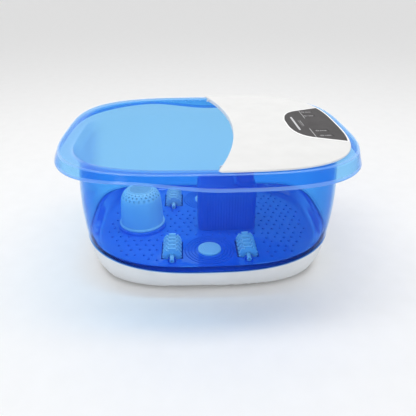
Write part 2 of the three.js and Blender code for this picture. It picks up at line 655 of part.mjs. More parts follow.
function blowerHousing() {
  const { x, low, radius, height, sheet } = BLOWER;
  const high = low + height;
  const inner = radius - sheet;
  const outer = turned([
    [0, low], [radius - 1, low], [radius, low + 1], [radius, high - 1], [radius - 1, high], [0, high],
  ], x, 0, 28);
  const hollow = turned([
    [0, low + sheet], [inner, low + sheet], [inner, high - sheet], [0, high - sheet],
  ], x, 0, 28);
  const intake = post(9, low + 10, high + 1, x, 0, 16);
  const shaftHole = post(4, low - 1, low + 4, x, 0, 10);
  const outlet = box(16, 10, 10, x + inner, -8, low + height / 2);
  return cut(solidOf(outer), hollow, intake, shaftHole, outlet);
}

function blowerImpeller() {
  const { x, low, radius, height, sheet } = BLOWER;
  const disc = low + sheet + 1.5;
  const tip = radius - sheet - 3;
  const bladeHigh = low + height - sheet - 2;
  const wheel = solidOf(turned([[0, disc], [tip, disc], [tip, disc + 1.5], [5, disc + 1.9], [4.5, bladeHigh],
    [0, bladeHigh]], x, 0, 20));
  const blades = [];
  for (let i = 0; i < 8; i += 1) {
    blades.push(box(tip - 7, 1.2, bladeHigh - disc - 1, (tip + 6) / 2, 0, (bladeHigh + disc + 1) / 2)
      .rotateZ((2 * Math.PI * i) / 8)
      .translate(x, 0, 0));
  }
  return join(wheel, ...blades, post(1.6, low - 8, disc + 1, x, 0, 10));
}

function blowerMotor() {
  const { x, low } = BLOWER;
  const can = turned([[0, 14], [16, 14], [17, 15], [17, low - 5], [16, low - 4], [5, low - 4], [5, low - 1],
    [0, low - 1]], x, 0, 20);
  return cut(solidOf(can), post(2.2, low - 9, low, x, 0, 10));
}

// A round tube along a smooth route, with eight sides.
function tube(route, radius, steps) {
  const section = new THREE.Shape();
  section.absarc(0, 0, radius, 0, 2 * Math.PI);
  const path = new THREE.CatmullRomCurve3(route.map((point) => new THREE.Vector3(...point)));
  return new THREE.ExtrudeGeometry(section, { extrudePath: path, steps, curveSegments: 4 });
}

// From the blower's outlet down through the island to the near bubble disc.
function airDuct() {
  const { x, low, radius } = BLOWER;
  return tube([
    [x + radius + 1, -8, low + 10], [54, -10, 50], [59, -13, 32], [56, -22, 21], [42, -40, 17], [22, -60, 16],
    [6, -74, 18], [0, -DISC.y, 24], [0, -DISC.y, 27],
  ], 4, 18);
}

// From the power board up through the column to the panel's tray.
function wireHarness() {
  return tube([
    [82, 26, 18], [70, 24, 19], [61, 14, 30],
    [COLUMN.x, 0, 70], [COLUMN.x, 0, 150], [COLUMN.x, 0, COLUMN.top + 4],
    [64, 0, COLUMN.top + 5], [BOARD.x - BOARD.halfLength - 2, 0, BOARD.low + 2],
  ], 2.4, 20);
}

// Board with a relay, a capacitor and a terminal block.
function powerBoard() {
  const { x, y, halfLength, halfWidth, low } = POWER_BOARD;
  const floor = PLATE_Z + PLATE_SHEET + GAP;
  return join(solidOf(box(2 * halfLength, 2 * halfWidth, 1.6, x, y, low + 0.8)),
    box(16, 12, 12, x + 9, y - 16, low + 7),
    post(6, low + 1, low + 16, x - 10, y + 14, 12),
    box(9, 20, 9, x + 14, y + 14, low + 5),
    ...fourSpots(halfLength - 4, halfWidth - 4).map(([px, py]) =>
      post(2, floor, low + 1, x + px, y + py, 8)));
}

// ---------- the whole basin ----------
const number = (name, i) => `${name}_${i + 1}`;

piece('tub_shell', tubShell(), 'blue');
piece('base_shroud', baseShroud(), 'white');
piece('bottom_plate', bottomPlate(), 'white');
piece('cord_gland', cordGland(), 'black');
fourSpots(FOOT_PAD.x, FOOT_PAD.y).forEach((spot, i) =>
  piece(number('rubber_foot', i), rubberFoot(spot), 'rubber'));
BASE_SCREWS.forEach(([x, y], i) => piece(number('base_screw', i), screw(x, y, PLATE_Z - GAP), 'steel'));

piece('splash_cover', splashCover(), 'white');
piece('electronics_tray', electronicsTray(), 'white');
piece('control_panel', controlPanel(), 'panel');
piece('indicator_lens', indicatorLens(), 'lens');
piece('panel_board', panelBoard(), 'board');
KEY_SPOTS.forEach((spot, i) => piece(number('panel_key', i), panelKey(spot), 'panel'));
pair(COLUMN.screwY).forEach((y, i) => {
  piece(number('column_screw', i), screw(COLUMN.x, y, COLUMN.top - ISLAND.sheet - GAP), 'steel');
});
TRAY_SCREWS.forEach(([x, y], i) => piece(number('tray_screw', i), screw(x, y, TRAY.low - GAP), 'steel'));

fourSpots(ROLLER.x, ROLLER.y).forEach((spot, i) => {
  piece(number('roller', i), rollerDrum(spot), 'white');
  piece(number('roller_axle', i), rollerAxle(spot), 'white');
});
pair(DISC.y).forEach((y, i) => piece(number('bubble_disc', i), bubbleDisc(y), 'white'));
piece('herb_cup', herbCup(), 'white');
piece('herb_cup_cap', herbCupCap(), 'white');
piece('herb_cup_seat', herbCupSeat(), 'white');

piece('vibration_motor', vibrationMotor(), 'steel');
piece('eccentric_weight', eccentricWeight(), 'steel');
piece('motor_bracket', motorBracket(), 'black');
piece('heater_plate', heaterPlate(), 'steel');
piece('thermostat', thermostat(), 'black');
piece('thermal_fuse', thermalFuse(), 'steel');
piece('blower_housing', blowerHousing(), 'black');
piece('blower_impeller', blowerImpeller(), 'black');
piece('blower_motor', blowerMotor(), 'steel');
piece('air_duct', airDuct(), 'rubber');
piece('power_board', powerBoard(), 'board');
piece('wire_harness', wireHarness(), 'black');

export default model;
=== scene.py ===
"""Looks of the foot spa basin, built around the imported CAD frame. Shapes are drawn in millimetres
and become metres when a mesh is made; lamps, the camera and heights inside materials are in metres."""
import bpy
import json
import math
import random
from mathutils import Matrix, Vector
from mathutils.geometry import tessellate_polygon


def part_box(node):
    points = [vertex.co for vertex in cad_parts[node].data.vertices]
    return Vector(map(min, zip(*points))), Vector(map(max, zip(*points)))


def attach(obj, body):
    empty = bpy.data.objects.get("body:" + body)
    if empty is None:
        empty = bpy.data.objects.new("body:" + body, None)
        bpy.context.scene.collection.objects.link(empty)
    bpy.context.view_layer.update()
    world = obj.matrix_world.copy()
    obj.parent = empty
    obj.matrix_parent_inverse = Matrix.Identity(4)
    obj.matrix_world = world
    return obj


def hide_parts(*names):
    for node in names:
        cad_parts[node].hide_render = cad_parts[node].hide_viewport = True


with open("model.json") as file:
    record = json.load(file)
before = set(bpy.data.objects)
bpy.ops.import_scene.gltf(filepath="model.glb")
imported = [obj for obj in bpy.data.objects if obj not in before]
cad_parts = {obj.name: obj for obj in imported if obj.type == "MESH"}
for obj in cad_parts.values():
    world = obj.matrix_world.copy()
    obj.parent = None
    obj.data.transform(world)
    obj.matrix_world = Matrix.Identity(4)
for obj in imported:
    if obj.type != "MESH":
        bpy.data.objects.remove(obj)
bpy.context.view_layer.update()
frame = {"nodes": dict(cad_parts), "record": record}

MM = 0.001
PI = math.pi
TURN = 2 * PI
random.seed(7)


# ---------- places taken from the frame ----------
def low_high(node):
    low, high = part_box(node)
    return low / MM, high / MM


def middle(node):
    low, high = low_high(node)
    return (low + high) / 2


COVER_LOW, COVER_HIGH = low_high("splash_cover")
COVER_TOP = COVER_HIGH.z
RIM_Z = low_high("tub_shell")[1].z
SHROUD_LOW = low_high("base_shroud")[0].z
ROLLERS = [middle(f"roller_{i}") for i in range(1, 5)]
DISCS = [middle(f"bubble_disc_{i}") for i in (1, 2)]
CUP_LOW, CUP_HIGH = low_high("herb_cup")
CUP = middle("herb_cup")
KEYS = [middle(f"panel_key_{i}") for i in range(1, 5)]
LENS = middle("indicator_lens")

# ---------- driving sizes ----------
SIDES = 256  # steps round the oval rings
WALL = (177, 146, 3.3)  # half length, half width and power of the oval under the rim
FOOT = (178, 137, 3.1)  # the same wall at the seam
WALL_SHEET = 2.6
WALL_BULGE = 3.4
WALL_TOP = RIM_Z - 22
FLOOR_Z = 34
FLOOR_UNDER = 31
SEAM_Z = 35.5
SEAM_RISE = 20
HEM_Z = 28
BASE_TAPER = 13
PLATE_TOP = 8
GAP = 0.35

ISLAND = {"x": 30, "half_x": 44.5, "half_y": 26, "top": 108, "sheet": 2.6, "corner": 9}
COLUMN = {"x": 57, "half_x": 13, "half_y": 19, "top": 184}
FLUTE = {"depth": 0.5, "pitch": 4.2}
WELL = {"radius": 15.8, "length": 44, "sheet": 2.4}
SADDLE = {"sheet": 5, "half": 6, "rise": 1.6}
AXLE = {"radius": 2.9, "length": 65}
ROLLER = {"length": 41, "radius": 13.8, "core": 9, "rings": 5, "width": 3.0, "lobes": 6}
CUP_PAD = {"radius": 38, "top": 38}
DISC_RADIUS = 16.6
RIDGES = (21.5, 26, 30.5, 35)
# rows of holes round the cup: row radius, drop from the top, hole radius, turn, lean in degrees
CUP_HOLES = ((28.6, 8.4, 1.95, 0.0, 62), (25.4, 4.2, 1.5, 0.5, 40), (22.2, 1.5, 1.15, 0.0, 25))
ROLLER_TILTS = (0.0, 0.06, 0.0, 0.03)  # how far each drum happens to stand turned, in radians

COVER_SHEET = 3
COVER_REACH = (11.5, 20)
COVER_ARC = {"apex": 36, "tip": 7, "tip_y": 158}
PANEL = {
    "left": 117, "shoulder_x": 142, "right": 183, "far": 9,
    "half_left": 14, "shoulder_y": 62, "half_right": 79,
}
PANEL_SHEET = 1.2
PANEL_PROUD = 0.2
KEY_HALF = (10, 5.5)
LENS_HALF = (1.6, 31)

CAMERA_AT = Vector((-32.1, -625.0, 398.9)) * MM
CAMERA_LOOKS = Vector((-2.7, 0.0, 100.0)) * MM
SENSOR_WIDTH = 36
FOCAL_LENGTH = 39.0375
CAMERA_SHIFT = (0.0070, -0.0558)
FLOOR_REACH = 30000
SKY_LOW = 1.5  # brightness of the studio at the horizon
SKY_HIGH = 0.6  # and overhead


# ---------- mesh helpers ----------
def mesh_object(name, points, faces, slots=(), face_slots=None, smooth=35):
    mesh = bpy.data.meshes.new(name)
    mesh.from_pydata([Vector(p) * MM for p in points], [], faces)
    for material in slots:
        mesh.materials.append(material)
    if face_slots:
        mesh.polygons.foreach_set("material_index", face_slots)
    mesh.validate()
    mesh.update()
    piece = bpy.data.objects.new(name, mesh)
    bpy.context.scene.collection.objects.link(piece)
    if smooth:
        soften(piece, smooth)
    return piece


def soften(piece, angle=35):
    mesh = piece.data
    mesh.polygons.foreach_set("use_smooth", [True] * len(mesh.polygons))
    mesh.set_sharp_from_angle(angle=math.radians(angle))
    mesh.update()


def boolean(piece, tool, operation):
    """Joins a closed tool to a closed piece, or cuts it away, and deletes the tool."""
    modifier = piece.modifiers.new("work", "BOOLEAN")
    modifier.object = tool
    modifier.operation = operation
    modifier.solver = "MANIFOLD"
    bpy.context.view_layer.update()
    worked = piece.evaluated_get(bpy.context.evaluated_depsgraph_get())
    mesh = bpy.data.meshes.new_from_object(worked)
    piece.modifiers.clear()
    old = piece.data
    piece.data = mesh
    mesh.name = old.name
    bpy.data.meshes.remove(old)
    bpy.data.objects.remove(tool)
    return piece


def cut(piece, tool):
    return boolean(piece, tool, "DIFFERENCE")


def join(piece, tool):
    return boolean(piece, tool, "UNION")


def merged(pieces, name):
    """Several meshes as one, with no boolean."""
    points, faces, face_slots = [], [], []
    slots = [slot for slot in pieces[0].data.materials]
    for piece in pieces:
        start = len(points)
        points += [v.co / MM for v in piece.data.vertices]
        for polygon in piece.data.polygons:
            faces.append([start + i for i in polygon.vertices])
            face_slots.append(polygon.material_index)
    for piece in pieces:
        bpy.data.objects.remove(piece)
    return mesh_object(name, points, faces, slots, face_slots)


def skin(name, rings, slots=(), ring_slots=None, closed=False, smooth=35):
    """Rings are lists of points, all as long. An open stack is closed by a fan at each end."""
    count = len(rings[0])
    points = [p for ring in rings for p in ring]
    faces, face_slots = [], []
    for r in range(len(rings) - (0 if closed else 1)):
        after = (r + 1) % len(rings)
        for i in range(count):
            k = (i + 1) % count
            faces.append((r * count + i, r * count + k, after * count + k, after * count + i))
            face_slots.append(ring_slots[r] if ring_slots else 0)
    if not closed:
        for ring, inward in ((0, True), (len(rings) - 1, False)):
            centre = sum((Vector(p) for p in rings[ring]), Vector()) / count
            points.append(centre)
            hub = len(points) - 1
            for i in range(count):
                a, b = ring * count + i, ring * count + (i + 1) % count
                faces.append((hub, b, a) if inward else (hub, a, b))
                face_slots.append(ring_slots[min(ring, len(rings) - 2)] if ring_slots else 0)
    return mesh_object(name, points, faces, slots, face_slots, smooth)


def slab(name, stack, slots=(), slot=0, smooth=35):
    """Outlines of equally many (x, y) points, given as (outline, z) from low to high, with flat ends."""
    count = len(stack[0][0])
    points = [(x, y, z) for outline, z in stack for x, y in outline]
    faces = []
    for r in range(len(stack) - 1):
        for i in range(count):
            k = (i + 1) % count
            faces.append((r * count + i, r * count + k, (r + 1) * count + k, (r + 1) * count + i))
    for ring, up in ((0, False), (len(stack) - 1, True)):
        flat = [Vector((x, y, 0)) for x, y in stack[ring][0]]
        for tri in tessellate_polygon([flat]):
            a, b, c = (flat[i] for i in tri)
            rises = (b - a).cross(c - a).z > 0
            ordered = tri if rises == up else tri[::-1]
            faces.append(tuple(ring * count + i for i in ordered))
    return mesh_object(name, points, faces, slots, [slot] * len(faces), smooth)


def turned(name, profile, at=(0, 0, 0), slots=(), slot=0, sides=64, axis="Z", smooth=35, closed=False):
    """A turned shape about an axis through at; profile is (radius, height) pairs, end to end or closed."""
    rings = []
    for radius, height in profile:
        ring = []
        for i in range(sides):
            a = TURN * i / sides
            u, v = max(radius, 1e-4) * math.cos(a), max(radius, 1e-4) * math.sin(a)
            local = (u, v, height) if axis == "Z" else (v, height, u)
            ring.append(Vector(at) + Vector(local))
        rings.append(ring)
    piece = skin(name, rings, slots, [slot] * len(rings), closed, smooth)
    return piece


def bar(name, radius, length, at, axis="Y", slots=(), slot=0, sides=48, bevel=0.0):
    half = length / 2
    if bevel:
        profile = [(radius - bevel, -half), (radius, -half + bevel),
                   (radius, half - bevel), (radius - bevel, half)]
    else:
        profile = [(radius, -half), (radius, half)]
    return turned(name, profile, at, slots, slot, sides, axis)


def block(name, size, at, slots=(), slot=0):
    half_x, half_y, half_z = (s / 2 for s in size)
    outline = [(at[0] + sx * half_x, at[1] + sy * half_y) for sx, sy in ((-1, -1), (1, -1), (1, 1), (-1, 1))]
    return slab(name, [(outline, at[2] - half_z), (outline, at[2] + half_z)], slots, slot, 0)


# ---------- outlines ----------
def oval_point(oval, offset, angle):
    a, b, power = oval[0] + offset, oval[1] + offset, oval[2]
    reach = (abs(math.cos(angle) / a) ** power + abs(math.sin(angle) / b) ** power) ** (-1 / power)
    return reach * math.cos(angle), reach * math.sin(angle)


def oval_ring(oval, offset, height, sides=SIDES):
    """height is a number or a function of x."""
    ring = []
    for i in range(sides):
        x, y = oval_point(oval, offset, TURN * i / sides)
        ring.append((x, y, height(x) if callable(height) else height))
    return ring


def rounded_rectangle(half_x, half_y, corner, x=0.0, y=0.0, steps=8):
    outline = []
    for quarter, (sx, sy) in enumerate(((1, -1), (1, 1), (-1, 1), (-1, -1))):
        centre = x + sx * (half_x - corner), y + sy * (half_y - corner)
        for i in range(steps + 1):
            angle = PI / 2 * (quarter - 1 + i / steps)
            outline.append((centre[0] + corner * math.cos(angle), centre[1] + corner * math.sin(angle)))
    return outline


def smoothstep(value, low, high):
    t = min(max((value - low) / (high - low), 0), 1)
    return t * t * (3 - 2 * t)


def mixed(low, high, share):
    return low + (high - low) * share


def seam_z(x):
    return SEAM_Z + SEAM_RISE * (abs(x) / FOOT[0]) ** 2.4


def skirt_low(x):
    return RIM_Z - (11 + 9.5 * smoothstep(x, -95, 10) + 3 * smoothstep(-x, 95, 185))


def wall_oval(share):
    swell = WALL_BULGE * 4 * share * (1 - share)
    length, width, power = (low + (high - low) * share for low, high in zip(FOOT, WALL))
    return length + swell, width + swell, power


def spline(t, a, b, c, d):
    """A smooth curve through b and c, with a before them and d after."""
    bend = 2 * a - 5 * b + 4 * c - d
    twist = 3 * b - a - 3 * c + d
    return 0.5 * (2 * b + (c - a) * t + bend * t * t + twist * t ** 3)


def lofted(rows, steps):
    """Fills in steps between the given (offset, height) rows along a smooth curve through them."""
    filled = []
    for i in range(len(rows) - 1):
        p0, p1, p2, p3 = (rows[min(max(i + k, 0), len(rows) - 1)] for k in (-1, 0, 1, 2))
        for s in range(steps):
            filled.append(tuple(spline(s / steps, *values) for values in zip(p0, p1, p2, p3)))
    filled.append(rows[-1])
    return filled


# ---------- material helpers ----------
def new_material(name):
    material = bpy.data.materials.new(name)
    material.use_nodes = True
    nodes = material.node_tree.nodes
    nodes.clear()
    return material, nodes, material.node_tree.links


def node(nodes, kind, **values):
    made = nodes.new(kind)
    for key, value in values.items():
        setattr(made, key, value)
    return made


def noise(nodes, links, scale, detail=4.0):
    texture = node(nodes, "ShaderNodeTexNoise")
    texture.inputs["Scale"].default_value = scale
    texture.inputs["Detail"].default_value = detail
    place = node(nodes, "ShaderNodeTexCoord")
    links.new(place.outputs["Object"], texture.inputs["Vector"])
    return texture.outputs["Fac"]


def between(nodes, links, factor, low, high):
    """A colour that runs from low to high with a factor."""
    ramp = node(nodes, "ShaderNodeValToRGB")
    ramp.color_ramp.elements[0].position = 0.3
    ramp.color_ramp.elements[1].position = 0.7
    ramp.color_ramp.elements[0].color = (*low, 1)
    ramp.color_ramp.elements[1].color = (*high, 1)
    links.new(factor, ramp.inputs["Fac"])
    return ramp.outputs["Color"]


def ranged(nodes, links, factor, low, high):
    spread = node(nodes, "ShaderNodeMapRange")
    spread.inputs["To Min"].default_value = low
    spread.inputs["To Max"].default_value = high
    links.new(factor, spread.inputs["Value"])
    return spread.outputs["Result"]


def math_node(nodes, links, operation, *values):
    """One sum, whose inputs are numbers or sockets."""
    made = node(nodes, "ShaderNodeMath", operation=operation)
    for socket, value in zip(made.inputs, values):
        if isinstance(value, (int, float)):
            socket.default_value = value
        else:
            links.new(value, socket)
    return made.outputs["Value"]


def bump(nodes, links, height, strength, distance):
    made = node(nodes, "ShaderNodeBump")
    made.inputs["Strength"].default_value = strength
    made.inputs["Distance"].default_value = distance
    links.new(height, made.inputs["Height"])
    return made.outputs["Normal"]


def plastic(name, low, high, rough, grain=900.0, strength=0.12, metallic=0.0, coat=0.0, gloss=0.5,
            mottle=35.0):
    """Moulded plastic, film or metal: two close tones, uneven gloss and a fine grain."""
    material, nodes, links = new_material(name)
    shader = node(nodes, "ShaderNodeBsdfPrincipled")
    out = node(nodes, "ShaderNodeOutputMaterial")
    links.new(between(nodes, links, noise(nodes, links, mottle), low, high), shader.inputs["Base Color"])
    links.new(ranged(nodes, links, noise(nodes, links, mottle * 3), *rough), shader.inputs["Roughness"])
    links.new(bump(nodes, links, noise(nodes, links, grain, 2.0), strength, 0.0002), shader.inputs["Normal"])
    shader.inputs["Metallic"].default_value = metallic
    shader.inputs["Coat Weight"].default_value = coat
    shader.inputs["Specular IOR Level"].default_value = gloss
    links.new(shader.outputs["BSDF"], out.inputs["Surface"])
    return material


CLEAR_TINT = (0.53, 0.81, 0.99)
CLEAR_BODY = ((0.03, 0.17, 0.83), (0.045, 0.2, 0.88))
CLEAR_HAZE = 0.055
# painted highlight: a lighter, hazier blue for the rows along the rim's ridge, the skirt's lower bead and the
# seam lip, standing in for the light lines that these edges catch
HIGHLIGHT_BODY = ((0.16, 0.42, 0.97), (0.22, 0.48, 1.0))
HIGHLIGHT_HAZE = 0.42


def below_seam(nodes, links):
    """1 below the seam's curve, where the base stands behind the plastic, and 0 above it."""
    place = node(nodes, "ShaderNodeTexCoord")
    axes = node(nodes, "ShaderNodeSeparateXYZ")
    links.new(place.outputs["Object"], axes.inputs["Vector"])
    along = math_node(nodes, links, "ABSOLUTE", axes.outputs["X"])
    along = math_node(nodes, links, "DIVIDE", along, FOOT[0] * MM)
    curve = math_node(nodes, links, "POWER", along, 2.4)
    curve = math_node(nodes, links, "MULTIPLY_ADD", curve, SEAM_RISE * MM, SEAM_Z * MM)
    over = math_node(nodes, links, "SUBTRACT", axes.outputs["Z"], curve)
    fade = node(nodes, "ShaderNodeMapRange", interpolation_type="SMOOTHSTEP")
    fade.inputs["From Min"].default_value = 0.0005
    fade.inputs["From Max"].default_value = 0.0025
    fade.inputs["To Min"].default_value = 1.0
    fade.inputs["To Max"].default_value = 0.0
    links.new(over, fade.inputs["Value"])
    return fade.outputs["Result"]


def clear_blue(name, body_tones=CLEAR_BODY, haze=CLEAR_HAZE, solid_at_seam=False):
    """Clear tinted plastic, mirror-like at a grazing angle; solid blue below the seam if asked."""
    material, nodes, links = new_material(name)
    see_through = node(nodes, "ShaderNodeBsdfTransparent")
    see_through.inputs["Color"].default_value = (*CLEAR_TINT, 1)
    body = node(nodes, "ShaderNodeBsdfPrincipled")
    body.inputs["IOR"].default_value = 1.5
    body.inputs["Coat Weight"].default_value = 1.0
    body.inputs["Coat IOR"].default_value = 1.9
    body.inputs["Coat Roughness"].default_value = 0.06
    links.new(between(nodes, links, noise(nodes, links, 14.0), *body_tones), body.inputs["Base Color"])
    links.new(ranged(nodes, links, noise(nodes, links, 60.0), 0.05, 0.12), body.inputs["Roughness"])
    links.new(bump(nodes, links, noise(nodes, links, 9.0, 1.0), 0.12, 0.002), body.inputs["Normal"])
    grazing = node(nodes, "ShaderNodeLayerWeight")
    grazing.inputs["Blend"].default_value = 0.5
    mirror = math_node(nodes, links, "POWER", grazing.outputs["Facing"], 5.0)
    factor = math_node(nodes, links, "MULTIPLY_ADD", mirror, 0.9, haze)
    if solid_at_seam:
        factor = math_node(nodes, links, "MAXIMUM", factor, below_seam(nodes, links))
    mix = node(nodes, "ShaderNodeMixShader")
    links.new(factor, mix.inputs["Fac"])
    links.new(see_through.outputs["BSDF"], mix.inputs[1])
    links.new(body.outputs["BSDF"], mix.inputs[2])
    out = node(nodes, "ShaderNodeOutputMaterial")
    links.new(mix.outputs["Shader"], out.inputs["Surface"])
    return material


# ---------- materials ----------
TUB_CLEAR = clear_blue("tub_clear")
TUB_INNER = clear_blue("tub_inner", solid_at_seam=True)
TUB_PAINTED_HIGHLIGHT = clear_blue("tub_painted_highlight", HIGHLIGHT_BODY, HIGHLIGHT_HAZE)
# painted shade: a darker blue than the floor's, on the island, the wells, the saddles, the disc ridges and
# the floor bumps, standing in for the shade on these parts of the same plastic
TUB_PAINTED_SHADE = plastic("tub_painted_shade", (0.02, 0.10, 0.60), (0.03, 0.13, 0.68), (0.14, 0.28), 400.0, 0.06, coat=0.3)
# painted shade: the base's white plastic is given a greyer tone, standing in for the shade it sits in
BASE_SHADED_WHITE = plastic("base_white", (0.66, 0.68, 0.70), (0.71, 0.73, 0.75), (0.34, 0.46), coat=0.15)
COVER_WHITE = plastic("cover_white", (0.72, 0.72, 0.715), (0.755, 0.755, 0.75), (0.42, 0.55), 1400.0, 0.18)
# painted highlight: a whiter tone than the cover's for the panel's border bead
PAINTED_HIGHLIGHT_WHITE = plastic("bead_painted_highlight", (0.93, 0.93, 0.93), (0.96, 0.96, 0.96), (0.25, 0.35), coat=0.3)
PANEL_FILM = plastic("panel_film", (0.04, 0.036, 0.038), (0.052, 0.048, 0.05), (0.5, 0.62),
                     2200.0, 0.25, gloss=0.3)
KEY_FILM = plastic("key_film", (0.045, 0.041, 0.043), (0.058, 0.054, 0.056), (0.52, 0.64),
                   2200.0, 0.3, gloss=0.3)
PRINT_GREY = plastic("print_grey", (0.42, 0.42, 0.43), (0.5, 0.5, 0.51), (0.4, 0.5))
LENS_GREY = plastic("lens_grey", (0.40, 0.40, 0.42), (0.52, 0.52, 0.54), (0.15, 0.25), coat=0.5)
MASSAGE_WHITE = plastic("massage_white", (0.86, 0.88, 0.90), (0.93, 0.94, 0.95), (0.3, 0.42), coat=0.15)
# painted shade: a darker blue-grey for the recessed middle of the white cup cap
CAP_PAINTED_SHADE = plastic("cap_painted_shade", (0.52, 0.57, 0.64), (0.58, 0.63, 0.70), (0.35, 0.5))
RUBBER = plastic("rubber", (0.018, 0.018, 0.02), (0.035, 0.035, 0.037), (0.7, 0.85), 700.0, 0.5)
STEEL = plastic("steel", (0.5, 0.51, 0.53), (0.62, 0.63, 0.65), (0.22, 0.38), 1500.0, 0.1, metallic=1.0)
ALUMINIUM = plastic("aluminium", (0.68, 0.69, 0.7), (0.78, 0.78, 0.79), (0.3, 0.42),
                    1200.0, 0.15, metallic=1.0)
BOARD = plastic("board", (0.02, 0.12, 0.05), (0.035, 0.17, 0.075), (0.35, 0.5), 800.0, 0.2)
NYLON = plastic("nylon", (0.014, 0.014, 0.016), (0.03, 0.03, 0.033), (0.4, 0.55), 900.0, 0.3)
CLEAR, INNER, SHADE, HIGHLIGHT = 0, 1, 2, 3
TUB_SLOTS = (TUB_CLEAR, TUB_INNER, TUB_PAINTED_SHADE, TUB_PAINTED_HIGHLIGHT)


# ---------- tub ----------
def tub_rings():
    """The tub's skin from the middle of its underside, out and up the wall, over the rim and back in."""
    rings, slots = [], []

    def add(oval, offset, height, slot):
        rings.append(oval_ring(oval, offset, height))
        slots.append(slot)

    underside = [(-60, FLOOR_UNDER), (-16, FLOOR_UNDER), (-12, FLOOR_UNDER - 0.5)]
    underside += [(-11.4, HEM_Z), (-9, HEM_Z)]
    for offset, height in underside:
        add(FOOT, offset, height, INNER)
    add(FOOT, -3.2, seam_z, CLEAR)
    # the two middle rows of the seam lip take the lighter blue, a painted highlight for the light line at the
    # seam
    seam_lip = [(-0.6, 0, CLEAR), (0.1, 0.25, HIGHLIGHT), (0.45, 0.7, HIGHLIGHT), (0.35, 1.3, CLEAR), (0, 2.4, CLEAR)]
    for out, rise, slot in seam_lip:
        add(FOOT, out, lambda x, rise=rise: seam_z(x) + rise, slot)
    for i in range(1, 25):
        share = i / 24
        add(wall_oval(share), 0, lambda x, s=share: mixed(seam_z(x) + 2.4, WALL_TOP, s), CLEAR)
    under = lofted([(0.0, WALL_TOP), (2.2, 181), (5.5, 187.6), (9.5, 190.1), (13, 190.3)], 4)[1:]
    for offset, height in under + [(19.6, 190.3), (20.6, 189.6)]:
        add(WALL, offset, height, CLEAR)
    for share in (0.3, 0.6, 0.9):
        add(WALL, 20.8 + 4.0 * share, lambda x, s=share: mixed(188.6, skirt_low(x) + 1.4, s), CLEAR)
    # the skirt's lower bead takes the lighter blue, a painted highlight along its edge
    bead = [(24.7, 0.9), (24.9, 0.2), (25.7, -0.15), (26.8, -0.1),
            (27.7, 0.4), (28.1, 1.3), (27.9, 2.3), (27.3, 3.1)]
    for offset, rise in bead:
        add(WALL, offset, lambda x, rise=rise: skirt_low(x) + rise, HIGHLIGHT)
    for share in (0.1, 0.35, 0.65, 0.92):
        add(WALL, 27.1 - 3.3 * share, lambda x, s=share: mixed(skirt_low(x) + 3.4, 190.6, s), CLEAR)
    top = [(23.5, 191.6), (22.9, 192.4), (21.9, 192.9), (20.5, RIM_Z), (11.5, 192.8), (8.4, 192.4)]
    shoulder = [(8.4, 192.4), (5.6, 190.9), (3.6, 188.5), (0.6, 182), (-1.4, 176.5), (-WALL_SHEET, WALL_TOP)]
    over = lofted(shoulder, 3)[1:]
    # the outer rows over the rim's ridge take the lighter blue, a painted highlight along the ridge
    for offset, height in top[:3]:
        add(WALL, offset, height, HIGHLIGHT)
    for offset, height in top[3:] + over:
        add(WALL, offset, height, CLEAR)
    for i in range(1, 17):
        share = 1 - 0.74 * i / 16
        add(wall_oval(share), -WALL_SHEET, FLOOR_Z + 2 + (WALL_TOP - FLOOR_Z - 2) * share, INNER)
    cove = [(-4.2, 62), (-5.5, 56), (-7.0, 50), (-9, 46), (-13.5, 38), (-17, 35), (-22, FLOOR_Z)]
    for offset, height in lofted(cove, 3):
        add(wall_oval(0.08), offset, height, INNER)
    for offset in (-40, -70, -100):
        add(wall_oval(0.08), offset, FLOOR_Z, INNER)
    return rings, slots


def fluted_outline(half_x, half_y, corner, x, depth):
    """A rounded rectangle whose flanks are scalloped."""
    plain = rounded_rectangle(half_x, half_y, corner, x, 0, steps=6)
    dense = []
    for (x0, y0), (x1, y1) in zip(plain, plain[1:] + plain[:1]):
        length = math.hypot(x1 - x0, y1 - y0)
        steps = max(1, round(length / (FLUTE["pitch"] / 4)))
        dense += [(x0 + (x1 - x0) * i / steps, y0 + (y1 - y0) * i / steps) for i in range(steps)]
    fluted, travelled = [], 0.0
    for i, (px, py) in enumerate(dense):
        nx, ny = dense[(i + 1) % len(dense)]
        wave = depth * (0.5 - 0.5 * math.cos(TURN * travelled / FLUTE["pitch"]))
        run = math.hypot(nx - px, ny - py) or 1.0
        fluted.append((px - wave * (ny - py) / run, py + wave * (nx - px) / run))
        travelled += run
    return fluted


def island():
    bottom = FLOOR_Z - 1.5
    sizes = ISLAND["half_x"], ISLAND["half_y"], ISLAND["corner"], ISLAND["x"]
    flank = fluted_outline(*sizes, FLUTE["depth"])
    levels = [(flank, bottom), (flank, ISLAND["top"] - 6)]
    for inset, drop in ((0.6, 3.2), (2.0, 1.2), (4.2, 0.2), (6.0, 0.0)):
        levels.append(([shrink(p, ISLAND["x"], inset, sizes) for p in flank], ISLAND["top"] - drop))
    # the island takes the darker blue, painted shade
    body = slab("island", levels, TUB_SLOTS, SHADE)
    neck = rounded_rectangle(COLUMN["half_x"], COLUMN["half_y"], 6, COLUMN["x"])
    collar = rounded_rectangle(COLUMN["half_x"] + 3, COLUMN["half_y"] + 3, 8, COLUMN["x"])
    top = ISLAND["top"]
    stack = [(collar, top - 5), (collar, top + 1.5), (neck, top + 5), (neck, COLUMN["top"])]
    return join(body, slab("column", stack, TUB_SLOTS, SHADE))


def shrink(point, centre_x, inset, sizes):
    """Moves an island point inwards by about inset."""
    x, y = point
    return centre_x + (x - centre_x) * (1 - inset / sizes[0]), y * (1 - inset / sizes[1])


